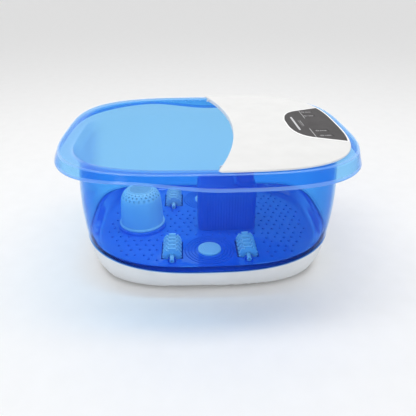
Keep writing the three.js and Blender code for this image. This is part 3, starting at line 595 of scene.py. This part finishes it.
def island_hollow():
    under = FLOOR_UNDER - 2
    sheet = ISLAND["sheet"] + FLUTE["depth"]
    room = rounded_rectangle(ISLAND["half_x"] - sheet, ISLAND["half_y"] - sheet, 6, ISLAND["x"])
    hollow = slab("island_hollow", [(room, under), (room, ISLAND["top"] - sheet)], TUB_SLOTS, SHADE)
    shaft = rounded_rectangle(COLUMN["half_x"] - 2.6, COLUMN["half_y"] - 2.6, 4, COLUMN["x"])
    hollow = join(hollow, slab("shaft", [(shaft, under + 5), (shaft, COLUMN["top"] - 2.6)], TUB_SLOTS, SHADE))
    return join(hollow, bar("wire_way", 6, 14, (COLUMN["x"], 0, COLUMN["top"] - 4), "Z", TUB_SLOTS, SHADE))


def saddle(x, y, end):
    """A low block with an open-topped slot for the axle."""
    axis_z = ROLLERS[0].z
    half, slot = SADDLE["half"], AXLE["radius"] + 0.3
    high = axis_z + SADDLE["rise"]
    section = [(-half, FLOOR_Z - 1), (half, FLOOR_Z - 1)]
    section += [(half - 0.8, high - 0.6), (half - 1.4, high), (slot, high)]
    section += [(slot * math.cos(a), axis_z + slot * math.sin(a)) for a in (-PI * i / 12 for i in range(13))]
    section += [(-slot, high), (-half + 1.4, high), (-half + 0.8, high - 0.6)]
    start = y + end * (WELL["length"] / 2 + WELL["sheet"]) - (SADDLE["sheet"] if end < 0 else 0)
    low = slab(f"saddle_{end}", [(section, 0), (section, SADDLE["sheet"])], TUB_SLOTS, SHADE)
    for vertex in low.data.vertices:
        u, v, w = vertex.co / MM
        vertex.co = Vector((x + u, start + SADDLE["sheet"] - w, v)) * MM
    return low


def floor_bumps():
    """Small domes scattered over the floor, clear of the cup, the island, the wells and the discs."""
    bumps = []
    pitch = 12.5
    for row in range(-9, 10):
        for column in range(-13, 14):
            x = (column + 0.5 * (row % 2)) * pitch + random.uniform(-1.6, 1.6)
            y = row * pitch + random.uniform(-1.6, 1.6)
            edge = oval_point(FOOT, -27, math.atan2(y, x))
            if math.hypot(x, y) > math.hypot(*edge):
                continue
            if math.hypot(x - CUP.x, y - CUP.y) < CUP_PAD["radius"] + 4:
                continue
            if abs(x - ISLAND["x"]) < ISLAND["half_x"] + 4 and abs(y) < ISLAND["half_y"] + 4:
                continue
            clear_x, clear_y = WELL["radius"] + 5, AXLE["length"] / 2 + 6
            if any(abs(x - r.x) < clear_x and abs(y - r.y) < clear_y for r in ROLLERS):
                continue
            if any(math.hypot(x - d.x, y - d.y) < RIDGES[-1] + 4 for d in DISCS):
                continue
            radius = random.uniform(1.7, 2.3)
            profile = [(radius, FLOOR_Z - 0.8), (radius, FLOOR_Z)]
            rise = (PI / 8, PI / 4, PI * 3 / 8)
            profile += [(radius * math.cos(a), FLOOR_Z + 1.5 * math.sin(a)) for a in rise]
            # the domes take the darker blue, painted shade that makes them read as dark dots
            bumps.append(turned("bump", profile, (x, y, 0), TUB_SLOTS, SHADE, 12, smooth=60))
    return merged(bumps, "bumps")


def floor_ridges():
    """Low rings round each disc."""
    ridges = []
    for disc in DISCS:
        for radius in RIDGES:
            across = ((-1.0, -0.8), (1.0, -0.8), (0.8, 0.2), (0.35, 0.7), (-0.35, 0.7), (-0.8, 0.2))
            section = [(radius + out, FLOOR_Z + rise) for out, rise in across]
            ridges.append(turned("ridge", section, (disc.x, disc.y, 0), TUB_SLOTS, SHADE, 96, closed=True))
    return merged(ridges, "ridges")


def roller_wells(tub):
    for roller in ROLLERS:
        outside = WELL["radius"] + WELL["sheet"], WELL["length"] + 2 * WELL["sheet"]
        outer = bar("well_shell", *outside, roller, "Y", TUB_SLOTS, INNER)
        cut(outer, block("lid", (60, 90, 60), (roller.x, roller.y, FLOOR_Z - 1 + 30), TUB_SLOTS, INNER))
        join(tub, outer)
        cut(tub, bar("well", WELL["radius"], WELL["length"], roller, "Y", TUB_SLOTS, SHADE, 64))
        for end in (-1, 1):
            join(tub, saddle(roller.x, roller.y, end))


def make_tub():
    rings, ring_slots = tub_rings()
    tub = skin("tub", rings, TUB_SLOTS, ring_slots)
    join(tub, island())
    radius, top = CUP_PAD["radius"], CUP_PAD["top"]
    profile = [(radius, FLOOR_Z - 1.5), (radius, top - 1.2), (radius - 0.4, top - 0.4), (radius - 1.4, top)]
    join(tub, turned("cup_pad", profile, (CUP.x, CUP.y, 0), TUB_SLOTS, INNER, 96))
    roller_wells(tub)
    cut(tub, island_hollow())
    for disc in DISCS:
        cut(tub, bar("stem_hole", DISC_RADIUS - 5, 12, (disc.x, disc.y, FLOOR_Z - 2), "Z", TUB_SLOTS, SHADE))
    join(tub, floor_ridges())
    join(tub, floor_bumps())
    soften(tub, 40)
    return tub


# ---------- base ----------
def make_shroud():
    def ring(share, offset):
        inset = offset - BASE_TAPER * (1 - share) ** 1.6
        return oval_ring(FOOT, inset, lambda x: SHROUD_LOW + (seam_z(x) - GAP - SHROUD_LOW) * share)

    rings = [oval_ring(FOOT, -BASE_TAPER - 0.2, SHROUD_LOW)]
    shares = (0.03, 0.08, 0.16, 0.28, 0.42, 0.56, 0.7, 0.84, 0.94, 0.98)
    rings += [ring(share, -0.5 * (1 - share) ** 4) for share in shares]
    top = [(-0.1, 0.5), (-0.4, 0.1), (-0.8, 0), (-2.2, 0)]
    rings += [oval_ring(FOOT, out, lambda x, d=down: seam_z(x) - GAP - d) for out, down in top]
    foot = -BASE_TAPER
    rings += [oval_ring(FOOT, -2.5, lambda x: seam_z(x) - GAP - 0.5), oval_ring(FOOT, -8.3, HEM_Z - 1),
              oval_ring(FOOT, foot - 1, SHROUD_LOW + 9), oval_ring(FOOT, foot - 2.6, SHROUD_LOW + 4),
              oval_ring(FOOT, foot - 2.6, SHROUD_LOW)]
    shroud = skin("shroud", rings, (BASE_SHADED_WHITE,), closed=True)
    for x, length in ((-27, 66), (28, 5), (48, 5), (59, 5), (70, 5)):
        outline = rounded_rectangle(length / 2, 15, 0.9, x, 15 - FOOT[1], 4)
        cut(shroud, slab("notch", [(outline, SHROUD_LOW - 2), (outline, SHROUD_LOW + 1.8)], (BASE_SHADED_WHITE,)))
    gland = middle("cord_gland")
    cut(shroud, bar("gland_hole", 5.95, 40, (gland.x, FOOT[1] - 18, gland.z), "Y", (BASE_SHADED_WHITE,)))
    soften(shroud)
    return shroud


def make_plate():
    edge = -BASE_TAPER - 2.6 - GAP
    levels = [(-0.6, SHROUD_LOW), (0, SHROUD_LOW + 0.6), (0, PLATE_TOP)]
    rings = [oval_ring(FOOT, edge + out, z, 128) for out, z in levels]
    plate = skin("plate", rings, (BASE_SHADED_WHITE,))
    for side in (-1, 1):
        for i in range(4):
            outline = rounded_rectangle(2, 17, 1.8, ISLAND["x"] - 19 + i * 12, side * 32)
            cut(plate, slab("vent", [(outline, 0), (outline, 12)], (BASE_SHADED_WHITE,)))
    for i in range(1, 5):
        foot = middle(f"rubber_foot_{i}")
        cut(plate, bar("foot_hole", 5.35, 30, (foot.x, foot.y, 8), "Z", (BASE_SHADED_WHITE,)))
    for i in range(1, 7):
        screw = middle(f"base_screw_{i}")
        cut(plate, bar("screw_hole", 1.85, 30, (screw.x, screw.y, 8), "Z", (BASE_SHADED_WHITE,)))
    for inset in (14, 26):
        section = ((-1, -0.2), (1, -0.2), (1, 0.7), (-1, 0.7))
        groove = [oval_ring(FOOT, edge - inset + out, SHROUD_LOW + z, 128) for out, z in section]
        cut(plate, skin("groove", groove, (BASE_SHADED_WHITE,), closed=True))
    soften(plate)
    return plate


def make_foot(i):
    foot = middle(f"rubber_foot_{i}")
    profile = [(6, 1.2), (7, 0.5), (8, 0), (11.6, 0), (12.6, 0.5), (13, 1.6), (12.8, 3.6), (12.2, 4.4)]
    profile += [(5, 4.65), (5, 8.35), (6.3, 8.4), (6.2, 9.2), (5, 10.4)]
    return turned(f"foot_{i}", profile, (foot.x, foot.y, 0), (RUBBER,), 0, 48)


def make_screw(name, cad_node):
    """A pan-head screw with a cross recess, pointing up."""
    low, high = low_high(cad_node)
    x, y = (low.x + high.x) / 2, (low.y + high.y) / 2
    seat = low.z + 2
    profile = [(1.9, low.z), (2.7, low.z + 0.35), (3.15, low.z + 1), (3.2, seat)]
    for i in range(12):
        z = seat + 0.4 + i * 0.95
        profile += [(1.15, z), (1.5, z + 0.45)]
    profile += [(0.9, high.z - 0.5), (0.2, high.z)]
    screw = turned(name, profile, (x, y, 0), (STEEL,), 0, 24)
    for size in ((3.4, 0.7, 1.6), (0.7, 3.4, 1.6)):
        cut(screw, block("recess", size, (x, y, low.z + 0.2), (STEEL,)))
    return screw


def make_gland():
    low, high = low_high("cord_gland")
    x, z = (low.x + high.x) / 2, (low.z + high.z) / 2
    length = high.y - low.y
    profile = [(3.4, 0), (8.2, 0), (8.6, 0.4), (8.6, 2.2), (8.2, 2.6), (5.6, 2.7)]
    for i in range(4):
        start = length - 9.6 + i * 2.3
        profile += [(5.6, start), (5.0, start + 0.3), (5.0, start + 1.1), (5.6, start + 1.4)]
    profile += [(5.6, length - 0.5), (5.1, length), (3.7, length), (3.4, length - 0.4)]
    return turned("gland", profile, (x, low.y, z), (NYLON,), 0, 48, "Y", closed=True)


# ---------- cover and panel ----------
def cover_outline(inset=0.0, reach=COVER_REACH, arc_inset=0.0):
    """Right-hand edge inside the rim, left edge an arc bowed towards the toes."""
    apex, tip, tip_y = COVER_ARC["apex"] + arc_inset + inset, COVER_ARC["tip"], COVER_ARC["tip_y"]
    edge = (WALL[0] + reach[0] - inset, WALL[1] + reach[1] - inset, WALL[2])
    bow = COVER_ARC["apex"] - tip
    radius = (tip_y * tip_y + bow * bow) / (2 * bow)
    tip_angle = math.atan2(tip_y + 7 - inset, tip + inset + arc_inset + 1.0)
    outline = []
    steps = 120
    for i in range(steps + 1):
        outline.append(oval_point(edge, 0, tip_angle * (-1 + 2 * i / steps)))
    centre_x = apex - radius
    start_y = outline[-1][1] - 3.2
    span = math.asin(start_y / radius)
    arc_steps = 60
    for i in range(arc_steps + 1):
        angle = span * (1 - 2 * i / arc_steps)
        outline.append((centre_x + radius * math.cos(angle), radius * math.sin(angle)))
    return outline


def panel_outline(grow=0.0):
    """A shield: blunt towards the heel, with its far edge parallel to the rim."""
    far = (WALL[0] + PANEL["far"] + grow, WALL[1] + PANEL["far"] + grow, WALL[2])
    far_angle = math.atan2(PANEL["half_right"] + grow, PANEL["right"])
    outline = [oval_point(far, 0, far_angle * (-1 + 2 * i / 24)) for i in range(25)]
    left, shoulder = PANEL["left"] - grow, PANEL["shoulder_y"] + grow
    nose = PANEL["half_left"]
    for side in (1, -1):
        bend = [(PANEL["shoulder_x"], side * shoulder), (left + 3, side * (shoulder - 9)),
                (left, side * nose)]
        curve = []
        for i in range(13):
            t = i / 12
            curve.append(tuple((1 - t) ** 2 * a + 2 * t * (1 - t) * b + t * t * c for a, b, c in zip(*bend)))
        outline += curve if side == 1 else curve[::-1]
    return outline


def key_outline(key, grow=0.0):
    return rounded_rectangle(KEY_HALF[0] + grow, KEY_HALF[1] + grow, 3 + grow, key.x, key.y)


def lens_outline(grow=0.0):
    return rounded_rectangle(LENS_HALF[0] + grow, LENS_HALF[1] + grow, 1.5 + grow, LENS.x, LENS.y)


def panel_bead():
    """The raised border that frames the panel, in a whiter material than the cover: a painted highlight for
    the light its top catches.
    """
    top, foot = COVER_TOP, COVER_TOP - 1
    rows = [(0.45, foot), (0.45, top + 0.25), (0.75, top + 0.5),
            (1.9, top + 0.5), (2.3, top + 0.2), (2.4, foot)]
    rings = [[(x, y, z) for x, y in panel_outline(grow)] for grow, z in rows]
    return skin("bead", rings[::-1], (COVER_WHITE, PAINTED_HIGHLIGHT_WHITE), [1] * len(rows), closed=True)


def cover_boss(screw, low, high, slots):
    return bar("boss", 4, high - low, (screw.x, screw.y, (high + low) / 2), "Z", slots, 0, 24)


def make_cover():
    under = COVER_TOP - COVER_SHEET
    slots = (COVER_WHITE, PAINTED_HIGHLIGHT_WHITE)
    levels = [(cover_outline(0.5), under), (cover_outline(0.0), under + 0.5)]
    for inset, drop in ((0.0, 1.2), (0.12, 0.75), (0.45, 0.3), (0.95, 0.05), (1.5, 0)):
        levels.append((cover_outline(inset), COVER_TOP - drop))
    cover = slab("cover", levels, slots, 0, 50)
    lip_low = COVER_TOP - 6
    outside = cover_outline(0, (2.3, 2.3))
    inside = cover_outline(0, (0.3, 0.3), 2)
    lip = slab("lip", [(outside, lip_low), (outside, under + 1)], slots)
    cut(lip, slab("lip_room", [(inside, lip_low - 1), (inside, under)], slots))
    join(cover, lip)
    for i in range(1, 5):
        tray = middle(f"tray_screw_{i}")
        low = low_high("electronics_tray")[0].z + 2.4
        join(cover, cover_boss(tray, low, under + 1, slots))
    for i in (1, 2):
        screw = middle(f"column_screw_{i}")
        low = COLUMN["top"] + GAP
        join(cover, cover_boss(screw, low, under + 1, slots))
        cut(cover, bar("pilot", 1.85, 11, (screw.x, screw.y, COVER_TOP - 6.6), "Z", slots, 0, 16))
    for i in range(1, 5):
        tray = middle(f"tray_screw_{i}")
        cut(cover, bar("pilot", 1.85, 18, (tray.x, tray.y, COVER_TOP - 10.6), "Z", slots, 0, 16))
    recess = panel_outline(GAP)
    cut(cover, slab("recess", [(recess, COVER_TOP - PANEL_SHEET - GAP), (recess, COVER_TOP + 2)], slots))
    for outline in [key_outline(key, 1) for key in KEYS] + [lens_outline(1)]:
        cut(cover, slab("way", [(outline, under - 1), (outline, COVER_TOP + 2)], slots))
    join(cover, panel_bead())
    soften(cover, 30)
    return cover


def make_panel():
    low, high = COVER_TOP - PANEL_SHEET, COVER_TOP + PANEL_PROUD
    levels = [(panel_outline(0), low), (panel_outline(0), high - 0.15), (panel_outline(-0.15), high)]
    panel = slab("panel", levels, (PANEL_FILM, PRINT_GREY))
    for outline in [key_outline(key, 0.3) for key in KEYS] + [lens_outline(0.3)]:
        cut(panel, slab("way", [(outline, low - 1), (outline, high + 1)], (PANEL_FILM, PRINT_GREY)))
    marks = []
    for x, y0, y1, half in ((148.5, 23, 62, 0.45), (143.5, -62, -24, 0.45), (138.5, -13, 13, 0.3)):
        line = rounded_rectangle(half, (y1 - y0) / 2, half * 0.9, x, (y0 + y1) / 2, 3)
        marks.append(raised_mark(line, high))
    for i in range(-3, 4):
        marks.append(raised_mark(rounded_rectangle(0.35, 0.9, 0.3, 136, 4.2 * i, 3), high))
    return merged([panel] + marks, "panel_print")


def raised_mark(outline, high, thick=0.06):
    return slab("mark", [(outline, high - 0.02), (outline, high + thick)], (PANEL_FILM, PRINT_GREY), 1)


def make_key(i):
    """A key cap flush with the film, with a plain icon and a row of bars as its mark."""
    key = KEYS[i]
    low, high = low_high(f"panel_key_{i + 1}")
    levels = [(key_outline(key), low.z), (key_outline(key), high.z - 0.3), (key_outline(key, -0.3), high.z)]
    cap = slab("key", levels, (KEY_FILM, PRINT_GREY))
    marks = []
    ring = [(2.3, high.z - 0.02), (2.3, high.z + 0.06), (1.5, high.z + 0.06), (1.5, high.z - 0.02)]
    marks.append(turned("ring", ring, (key.x - 5, key.y, 0), (KEY_FILM, PRINT_GREY), 1, 24, closed=True))
    for k in range(4):
        outline = rounded_rectangle(0.55, 1.2 + 0.35 * ((k + i) % 3), 0.4, key.x - 0.4 + 2.3 * k, key.y, 3)
        marks.append(raised_mark(outline, high.z))
    return merged([cap] + marks, f"key_cap_{i + 1}")


def make_lens():
    low, high = low_high("indicator_lens")
    levels = [(lens_outline(), low.z), (lens_outline(), high.z - 0.4), (lens_outline(-0.4), high.z + 0.1)]
    return slab("lens", levels, (LENS_GREY,))


# ---------- massage pieces ----------
def lobed_outline(scale=1.0):
    """Six lobes, each with a shallow hollow between two rounded corners, and a notch to the next."""
    radius, core, lobes = ROLLER["radius"], ROLLER["core"], ROLLER["lobes"]
    outline = []
    notch = core - radius
    shares = (
        (-0.40, -1.3), (-0.37, 0.0), (-0.31, -0.15), (-0.2, -1.0), (-0.07, -0.75), (0, -0.5), (0.07, -0.75),
        (0.2, -1.0), (0.31, -0.15), (0.37, 0.0), (0.40, -1.3),
        (0.45, notch + 1.4), (0.5, notch + 0.7), (0.55, notch + 1.4),
    )
    for k in range(lobes):
        for share, drop in shares:
            angle = TURN * (k + share) / lobes + PI / 2
            reach = (radius + drop) * scale
            outline.append((reach * math.cos(angle), reach * math.sin(angle)))
    return outline


def make_drum(i):
    centre = ROLLERS[i]
    length, width = ROLLER["length"], ROLLER["width"]
    core = ROLLER["core"]
    rings = []
    tilt = ROLLER_TILTS[i]

    def add(outline, along):
        ring = []
        for u, v in outline:
            turned_u = u * math.cos(tilt) - v * math.sin(tilt)
            turned_v = u * math.sin(tilt) + v * math.cos(tilt)
            ring.append((centre.x + turned_u, centre.y + along, centre.z + turned_v))
        rings.append(ring)

    lobed = lobed_outline()
    slim = lobed_outline(0.955)
    around = [math.atan2(v, u) for u, v in lobed]
    waist = [((core - 1) * math.cos(a), (core - 1) * math.sin(a)) for a in around]
    step = (length - width) / (ROLLER["rings"] - 1)
    for k in range(ROLLER["rings"]):
        start = -length / 2 + k * step
        add(slim, start)
        add(lobed, start + 0.7)
        add(lobed, start + width - 0.7)
        add(slim, start + width)
        if k < ROLLER["rings"] - 1:
            add(waist, start + width + 0.6)
            add(waist, start + step - 0.6)
    rings.reverse()
    drum = skin(f"drum_{i + 1}", rings, (MASSAGE_WHITE,))
    cut(drum, bar("bore", 3.2, length + 4, centre, "Y", (MASSAGE_WHITE,), 0, 32))
    for end in (-1, 1):
        face = (centre.x, centre.y + end * length / 2, centre.z)
        cut(drum, bar("dish", 6.4, 2.4, face, "Y", (MASSAGE_WHITE,)))
    soften(drum, 32)
    return drum


def make_axle(i):
    centre = ROLLERS[i]
    half = AXLE["length"] / 2
    radius = AXLE["radius"]
    profile = [(3.3 - 0.5, -half), (3.3, -half + 0.4), (3.3, -half + 2.2), (radius, -half + 2.6),
               (radius, half - 2.6), (3.3, half - 2.2), (3.3, half - 0.4), (3.3 - 0.5, half)]
    axle = turned(f"axle_rod_{i + 1}", profile, centre, (MASSAGE_WHITE,), 0, 40, "Y")
    for end in (-1, 1):
        face = (centre.x, centre.y + end * half, centre.z)
        cut(axle, bar("eye", 1.5, 8, face, "Y", (MASSAGE_WHITE,), 0, 24))
        flat = (12, 5, 2.2)
        for side in (-1, 1):
            place = (centre.x, centre.y + end * (half - 6.5), centre.z + side * (radius + 0.5))
            cut(axle, block("flat", flat, place, (MASSAGE_WHITE,)))
    soften(axle)
    return axle


def make_disc(i):
    centre = DISCS[i]
    low, high = low_high(f"bubble_disc_{i + 1}")
    top = high.z
    profile = [(9.4, low.z), (12.4, low.z), (12.4, low.z + 2.4), (11.2, low.z + 2.6), (11.2, FLOOR_Z + GAP),
               (DISC_RADIUS, FLOOR_Z + GAP), (DISC_RADIUS, top - 1.4), (DISC_RADIUS - 0.5, top - 0.7),
               (DISC_RADIUS - 1.5, top - 0.3), (10, top - 0.1), (0, top), (0, top - 2.0), (9.4, top - 2.2)]
    disc = turned(f"disc_{i + 1}", profile, (centre.x, centre.y, 0), (MASSAGE_WHITE,), 0, 96, closed=True)
    holes = []
    for row, count in ((3.0, 6), (5.9, 12), (8.8, 18), (11.7, 24), (14.3, 30)):
        for k in range(count):
            a = TURN * (k + 0.5 * (row > 8)) / count
            spot = centre.x + row * math.cos(a), centre.y + row * math.sin(a), top + 0.1
            holes.append(bar("dot", 0.65, 1.6, spot, "Z", (MASSAGE_WHITE,), 0, 8))
    cut(disc, merged(holes, "dots"))
    soften(disc)
    return disc


def make_cup():
    low, top = CUP_LOW.z, CUP_HIGH.z
    cap = 18.5
    seat = top - 2.2
    outside = lofted([(33, low + 3.2), (32.4, low + 16), (31.6, low + 30), (30.8, top - 17.2)], 3)
    crown = [(30.8, top - 17.2), (29.6, top - 11.2), (26.9, top - 5.8), (23.6, top - 2.2), (cap + 1.6, top)]
    dome = lofted(crown, 5)[1:]
    profile = [(35, low), (35.2, low + 0.6), (35.2, low + 1.6), (34.8, low + 2.3), (33.8, low + 2.6)]
    profile += outside + dome
    profile += [(cap + GAP + 0.2, top), (cap + GAP, top - 0.3), (cap + GAP, seat), (cap - 4, seat)]
    profile += [(cap - 4, seat - 2), (cap + 2, seat - 2.2), (24.8, top - 7.6), (27.6, top - 12.2)]
    profile += [(28.8, top - 17.7), (31, low)]
    cup = turned("cup", profile, (CUP.x, CUP.y, 0), (MASSAGE_WHITE,), 0, 128, closed=True)
    holes = []
    for radius, drop, size, shift, lean in CUP_HOLES:
        for k in range(24):
            a = TURN * (k + shift) / 24
            tip = math.radians(lean)
            out = Vector((math.cos(a) * math.sin(tip), math.sin(a) * math.sin(tip), math.cos(tip)))
            spot = Vector((CUP.x + radius * math.cos(a), CUP.y + radius * math.sin(a), top - drop))
            holes.append(slanted_bar("hole", size, 5.2, spot, out))
    cut(cup, merged(holes, "holes"))
    soften(cup)
    return cup


def slanted_bar(name, radius, length, centre, direction, sides=12):
    turn = direction.to_track_quat("Z", "Y")
    rings = []
    for end in (-length / 2, length / 2):
        ring = []
        for k in range(sides):
            a = TURN * k / sides
            ring.append(centre + turn @ Vector((radius * math.cos(a), radius * math.sin(a), end)))
        rings.append(ring)
    return skin(name, rings, (MASSAGE_WHITE,))


def make_cap():
    low, high = low_high("herb_cup_cap")
    centre = middle("herb_cup_cap")
    top = high.z
    profile = [(14.1, low.z), (14.1, low.z + 3), (18.5, low.z + 3)]
    profile += [(18.5, top - 0.3), (18.1, top), (17.0, top)]
    profile += [(16.5, top - 0.5), (6, top - 0.7), (4.6, top - 0.7), (4.2, top - 0.2), (3.4, top), (0.1, top)]
    cap = turned("cup_cap", profile, (centre.x, centre.y, 0), (CAP_PAINTED_SHADE, MASSAGE_WHITE), 0, 96)
    # the cap's recessed middle takes a darker blue-grey than the white rim, painted shade
    for polygon in cap.data.polygons:
        x, y, _ = polygon.center / MM
        polygon.material_index = 1 if math.hypot(x - centre.x, y - centre.y) > 16.6 else 0
    return cap


# ---------- putting the pieces in place ----------
def place(piece, body, slot, *nodes):
    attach(piece, body)
    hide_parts(*nodes)


def place_screw(kind, i):
    cad_node = f"{kind}_screw_{i}"
    place(make_screw(f"{kind}_fixing_{i}", cad_node), "basin", "screw_steel", cad_node)


def place_pieces():
    place(make_tub(), "basin", "tub_blue", "tub_shell")
    place(make_shroud(), "basin", "base_white", "base_shroud")
    place(make_plate(), "basin", "base_white", "bottom_plate")
    place(make_gland(), "basin", "fitting_black", "cord_gland")
    place(make_cover(), "basin", "cover_white", "splash_cover")
    place(make_panel(), "basin", "panel_grey", "control_panel")
    place(make_lens(), "basin", "lens_clear", "indicator_lens")
    for i in range(4):
        place(make_foot(i + 1), "basin", "foot_rubber", f"rubber_foot_{i + 1}")
        place(make_key(i), f"key_{i + 1}", "panel_grey", f"panel_key_{i + 1}")
        place(make_drum(i), f"drum_{i + 1}", "massage_white", f"roller_{i + 1}")
        place(make_axle(i), f"axle_{i + 1}", "massage_white", f"roller_axle_{i + 1}")
        place_screw("tray", i + 1)
    for i in range(2):
        place(make_disc(i), "basin", "massage_white", f"bubble_disc_{i + 1}")
        place_screw("column", i + 1)
    for i in range(6):
        place_screw("base", i + 1)
    place(make_cup(), "herb_cup", "massage_white", "herb_cup")
    place(make_cap(), "herb_cup_cap", "massage_white", "herb_cup_cap")


SLOT_LOOKS = {
    "tub_blue": TUB_PAINTED_SHADE, "base_white": BASE_SHADED_WHITE, "cover_white": COVER_WHITE, "panel_grey": PANEL_FILM,
    "lens_clear": LENS_GREY, "massage_white": MASSAGE_WHITE, "foot_rubber": RUBBER, "screw_steel": STEEL,
    "motor_steel": STEEL, "heater_aluminium": ALUMINIUM, "board_green": BOARD, "fitting_black": NYLON,
}


def dress_cad_nodes():
    """Every CAD node gets the look of its material slot; the ones left showing are the hidden works."""
    for part in frame["record"]["subparts"]:
        mesh = frame["nodes"][part["node"]].data
        mesh.materials.clear()
        mesh.materials.append(SLOT_LOOKS[part["material_slot"]])


# ---------- stage, light and camera ----------
def make_stage():
    corners = [(x * FLOOR_REACH, y * FLOOR_REACH, 0) for x, y in ((-1, -1), (1, -1), (1, 1), (-1, 1))]
    floor = mesh_object("floor", corners, [(0, 1, 2, 3)], smooth=0)
    pale = plastic("floor_pale", (0.90, 0.90, 0.90), (0.92, 0.92, 0.92), (0.5, 0.6), 200.0, 0.02)
    floor.data.materials.append(pale)
    world = bpy.data.worlds.new("studio")
    world.use_nodes = True
    nodes, links = world.node_tree.nodes, world.node_tree.links
    way = node(nodes, "ShaderNodeTexCoord")
    axes = node(nodes, "ShaderNodeSeparateXYZ")
    links.new(way.outputs["Generated"], axes.inputs["Vector"])
    sky = node(nodes, "ShaderNodeMapRange", interpolation_type="SMOOTHSTEP")
    sky.inputs["From Min"].default_value = 0.05
    sky.inputs["From Max"].default_value = 0.7
    sky.inputs["To Min"].default_value = SKY_LOW
    sky.inputs["To Max"].default_value = SKY_HIGH
    links.new(axes.outputs["Z"], sky.inputs["Value"])
    nodes["Background"].inputs["Color"].default_value = (1, 1, 1, 1)
    links.new(sky.outputs["Result"], nodes["Background"].inputs["Strength"])
    bpy.context.scene.world = world


def make_light(name, at, looks_at, size, power):
    light = bpy.data.lights.new(name, "AREA")
    light.shape = "RECTANGLE"
    light.size, light.size_y = size
    light.energy = power
    lamp = bpy.data.objects.new(name, light)
    lamp.location = at
    lamp.rotation_euler = (Vector(looks_at) - Vector(at)).to_track_quat("-Z", "Y").to_euler()
    bpy.context.scene.collection.objects.link(lamp)


def make_lights():
    make_light("overhead", (0, 0.1, 1.5), (0, 0, 0.1), (1.8, 0.3), 9.5)
    make_light("front_left", (-0.9, -1.3, 0.9), (0, 0, 0.1), (0.25, 0.6), 1.5)


def make_camera():
    data = bpy.data.cameras.new("camera")
    camera = bpy.data.objects.new("camera", data)
    bpy.context.scene.collection.objects.link(camera)
    camera.location = CAMERA_AT
    camera.rotation_euler = (CAMERA_LOOKS - CAMERA_AT).to_track_quat("-Z", "Y").to_euler()
    data.sensor_width = SENSOR_WIDTH
    data.lens = FOCAL_LENGTH
    data.shift_x, data.shift_y = CAMERA_SHIFT
    bpy.context.scene.camera = camera


bpy.context.scene.view_settings.view_transform = "Standard"
bpy.context.scene.cycles.transparent_max_bounces = 32
make_camera()
make_stage()
make_lights()
dress_cad_nodes()
place_pieces()
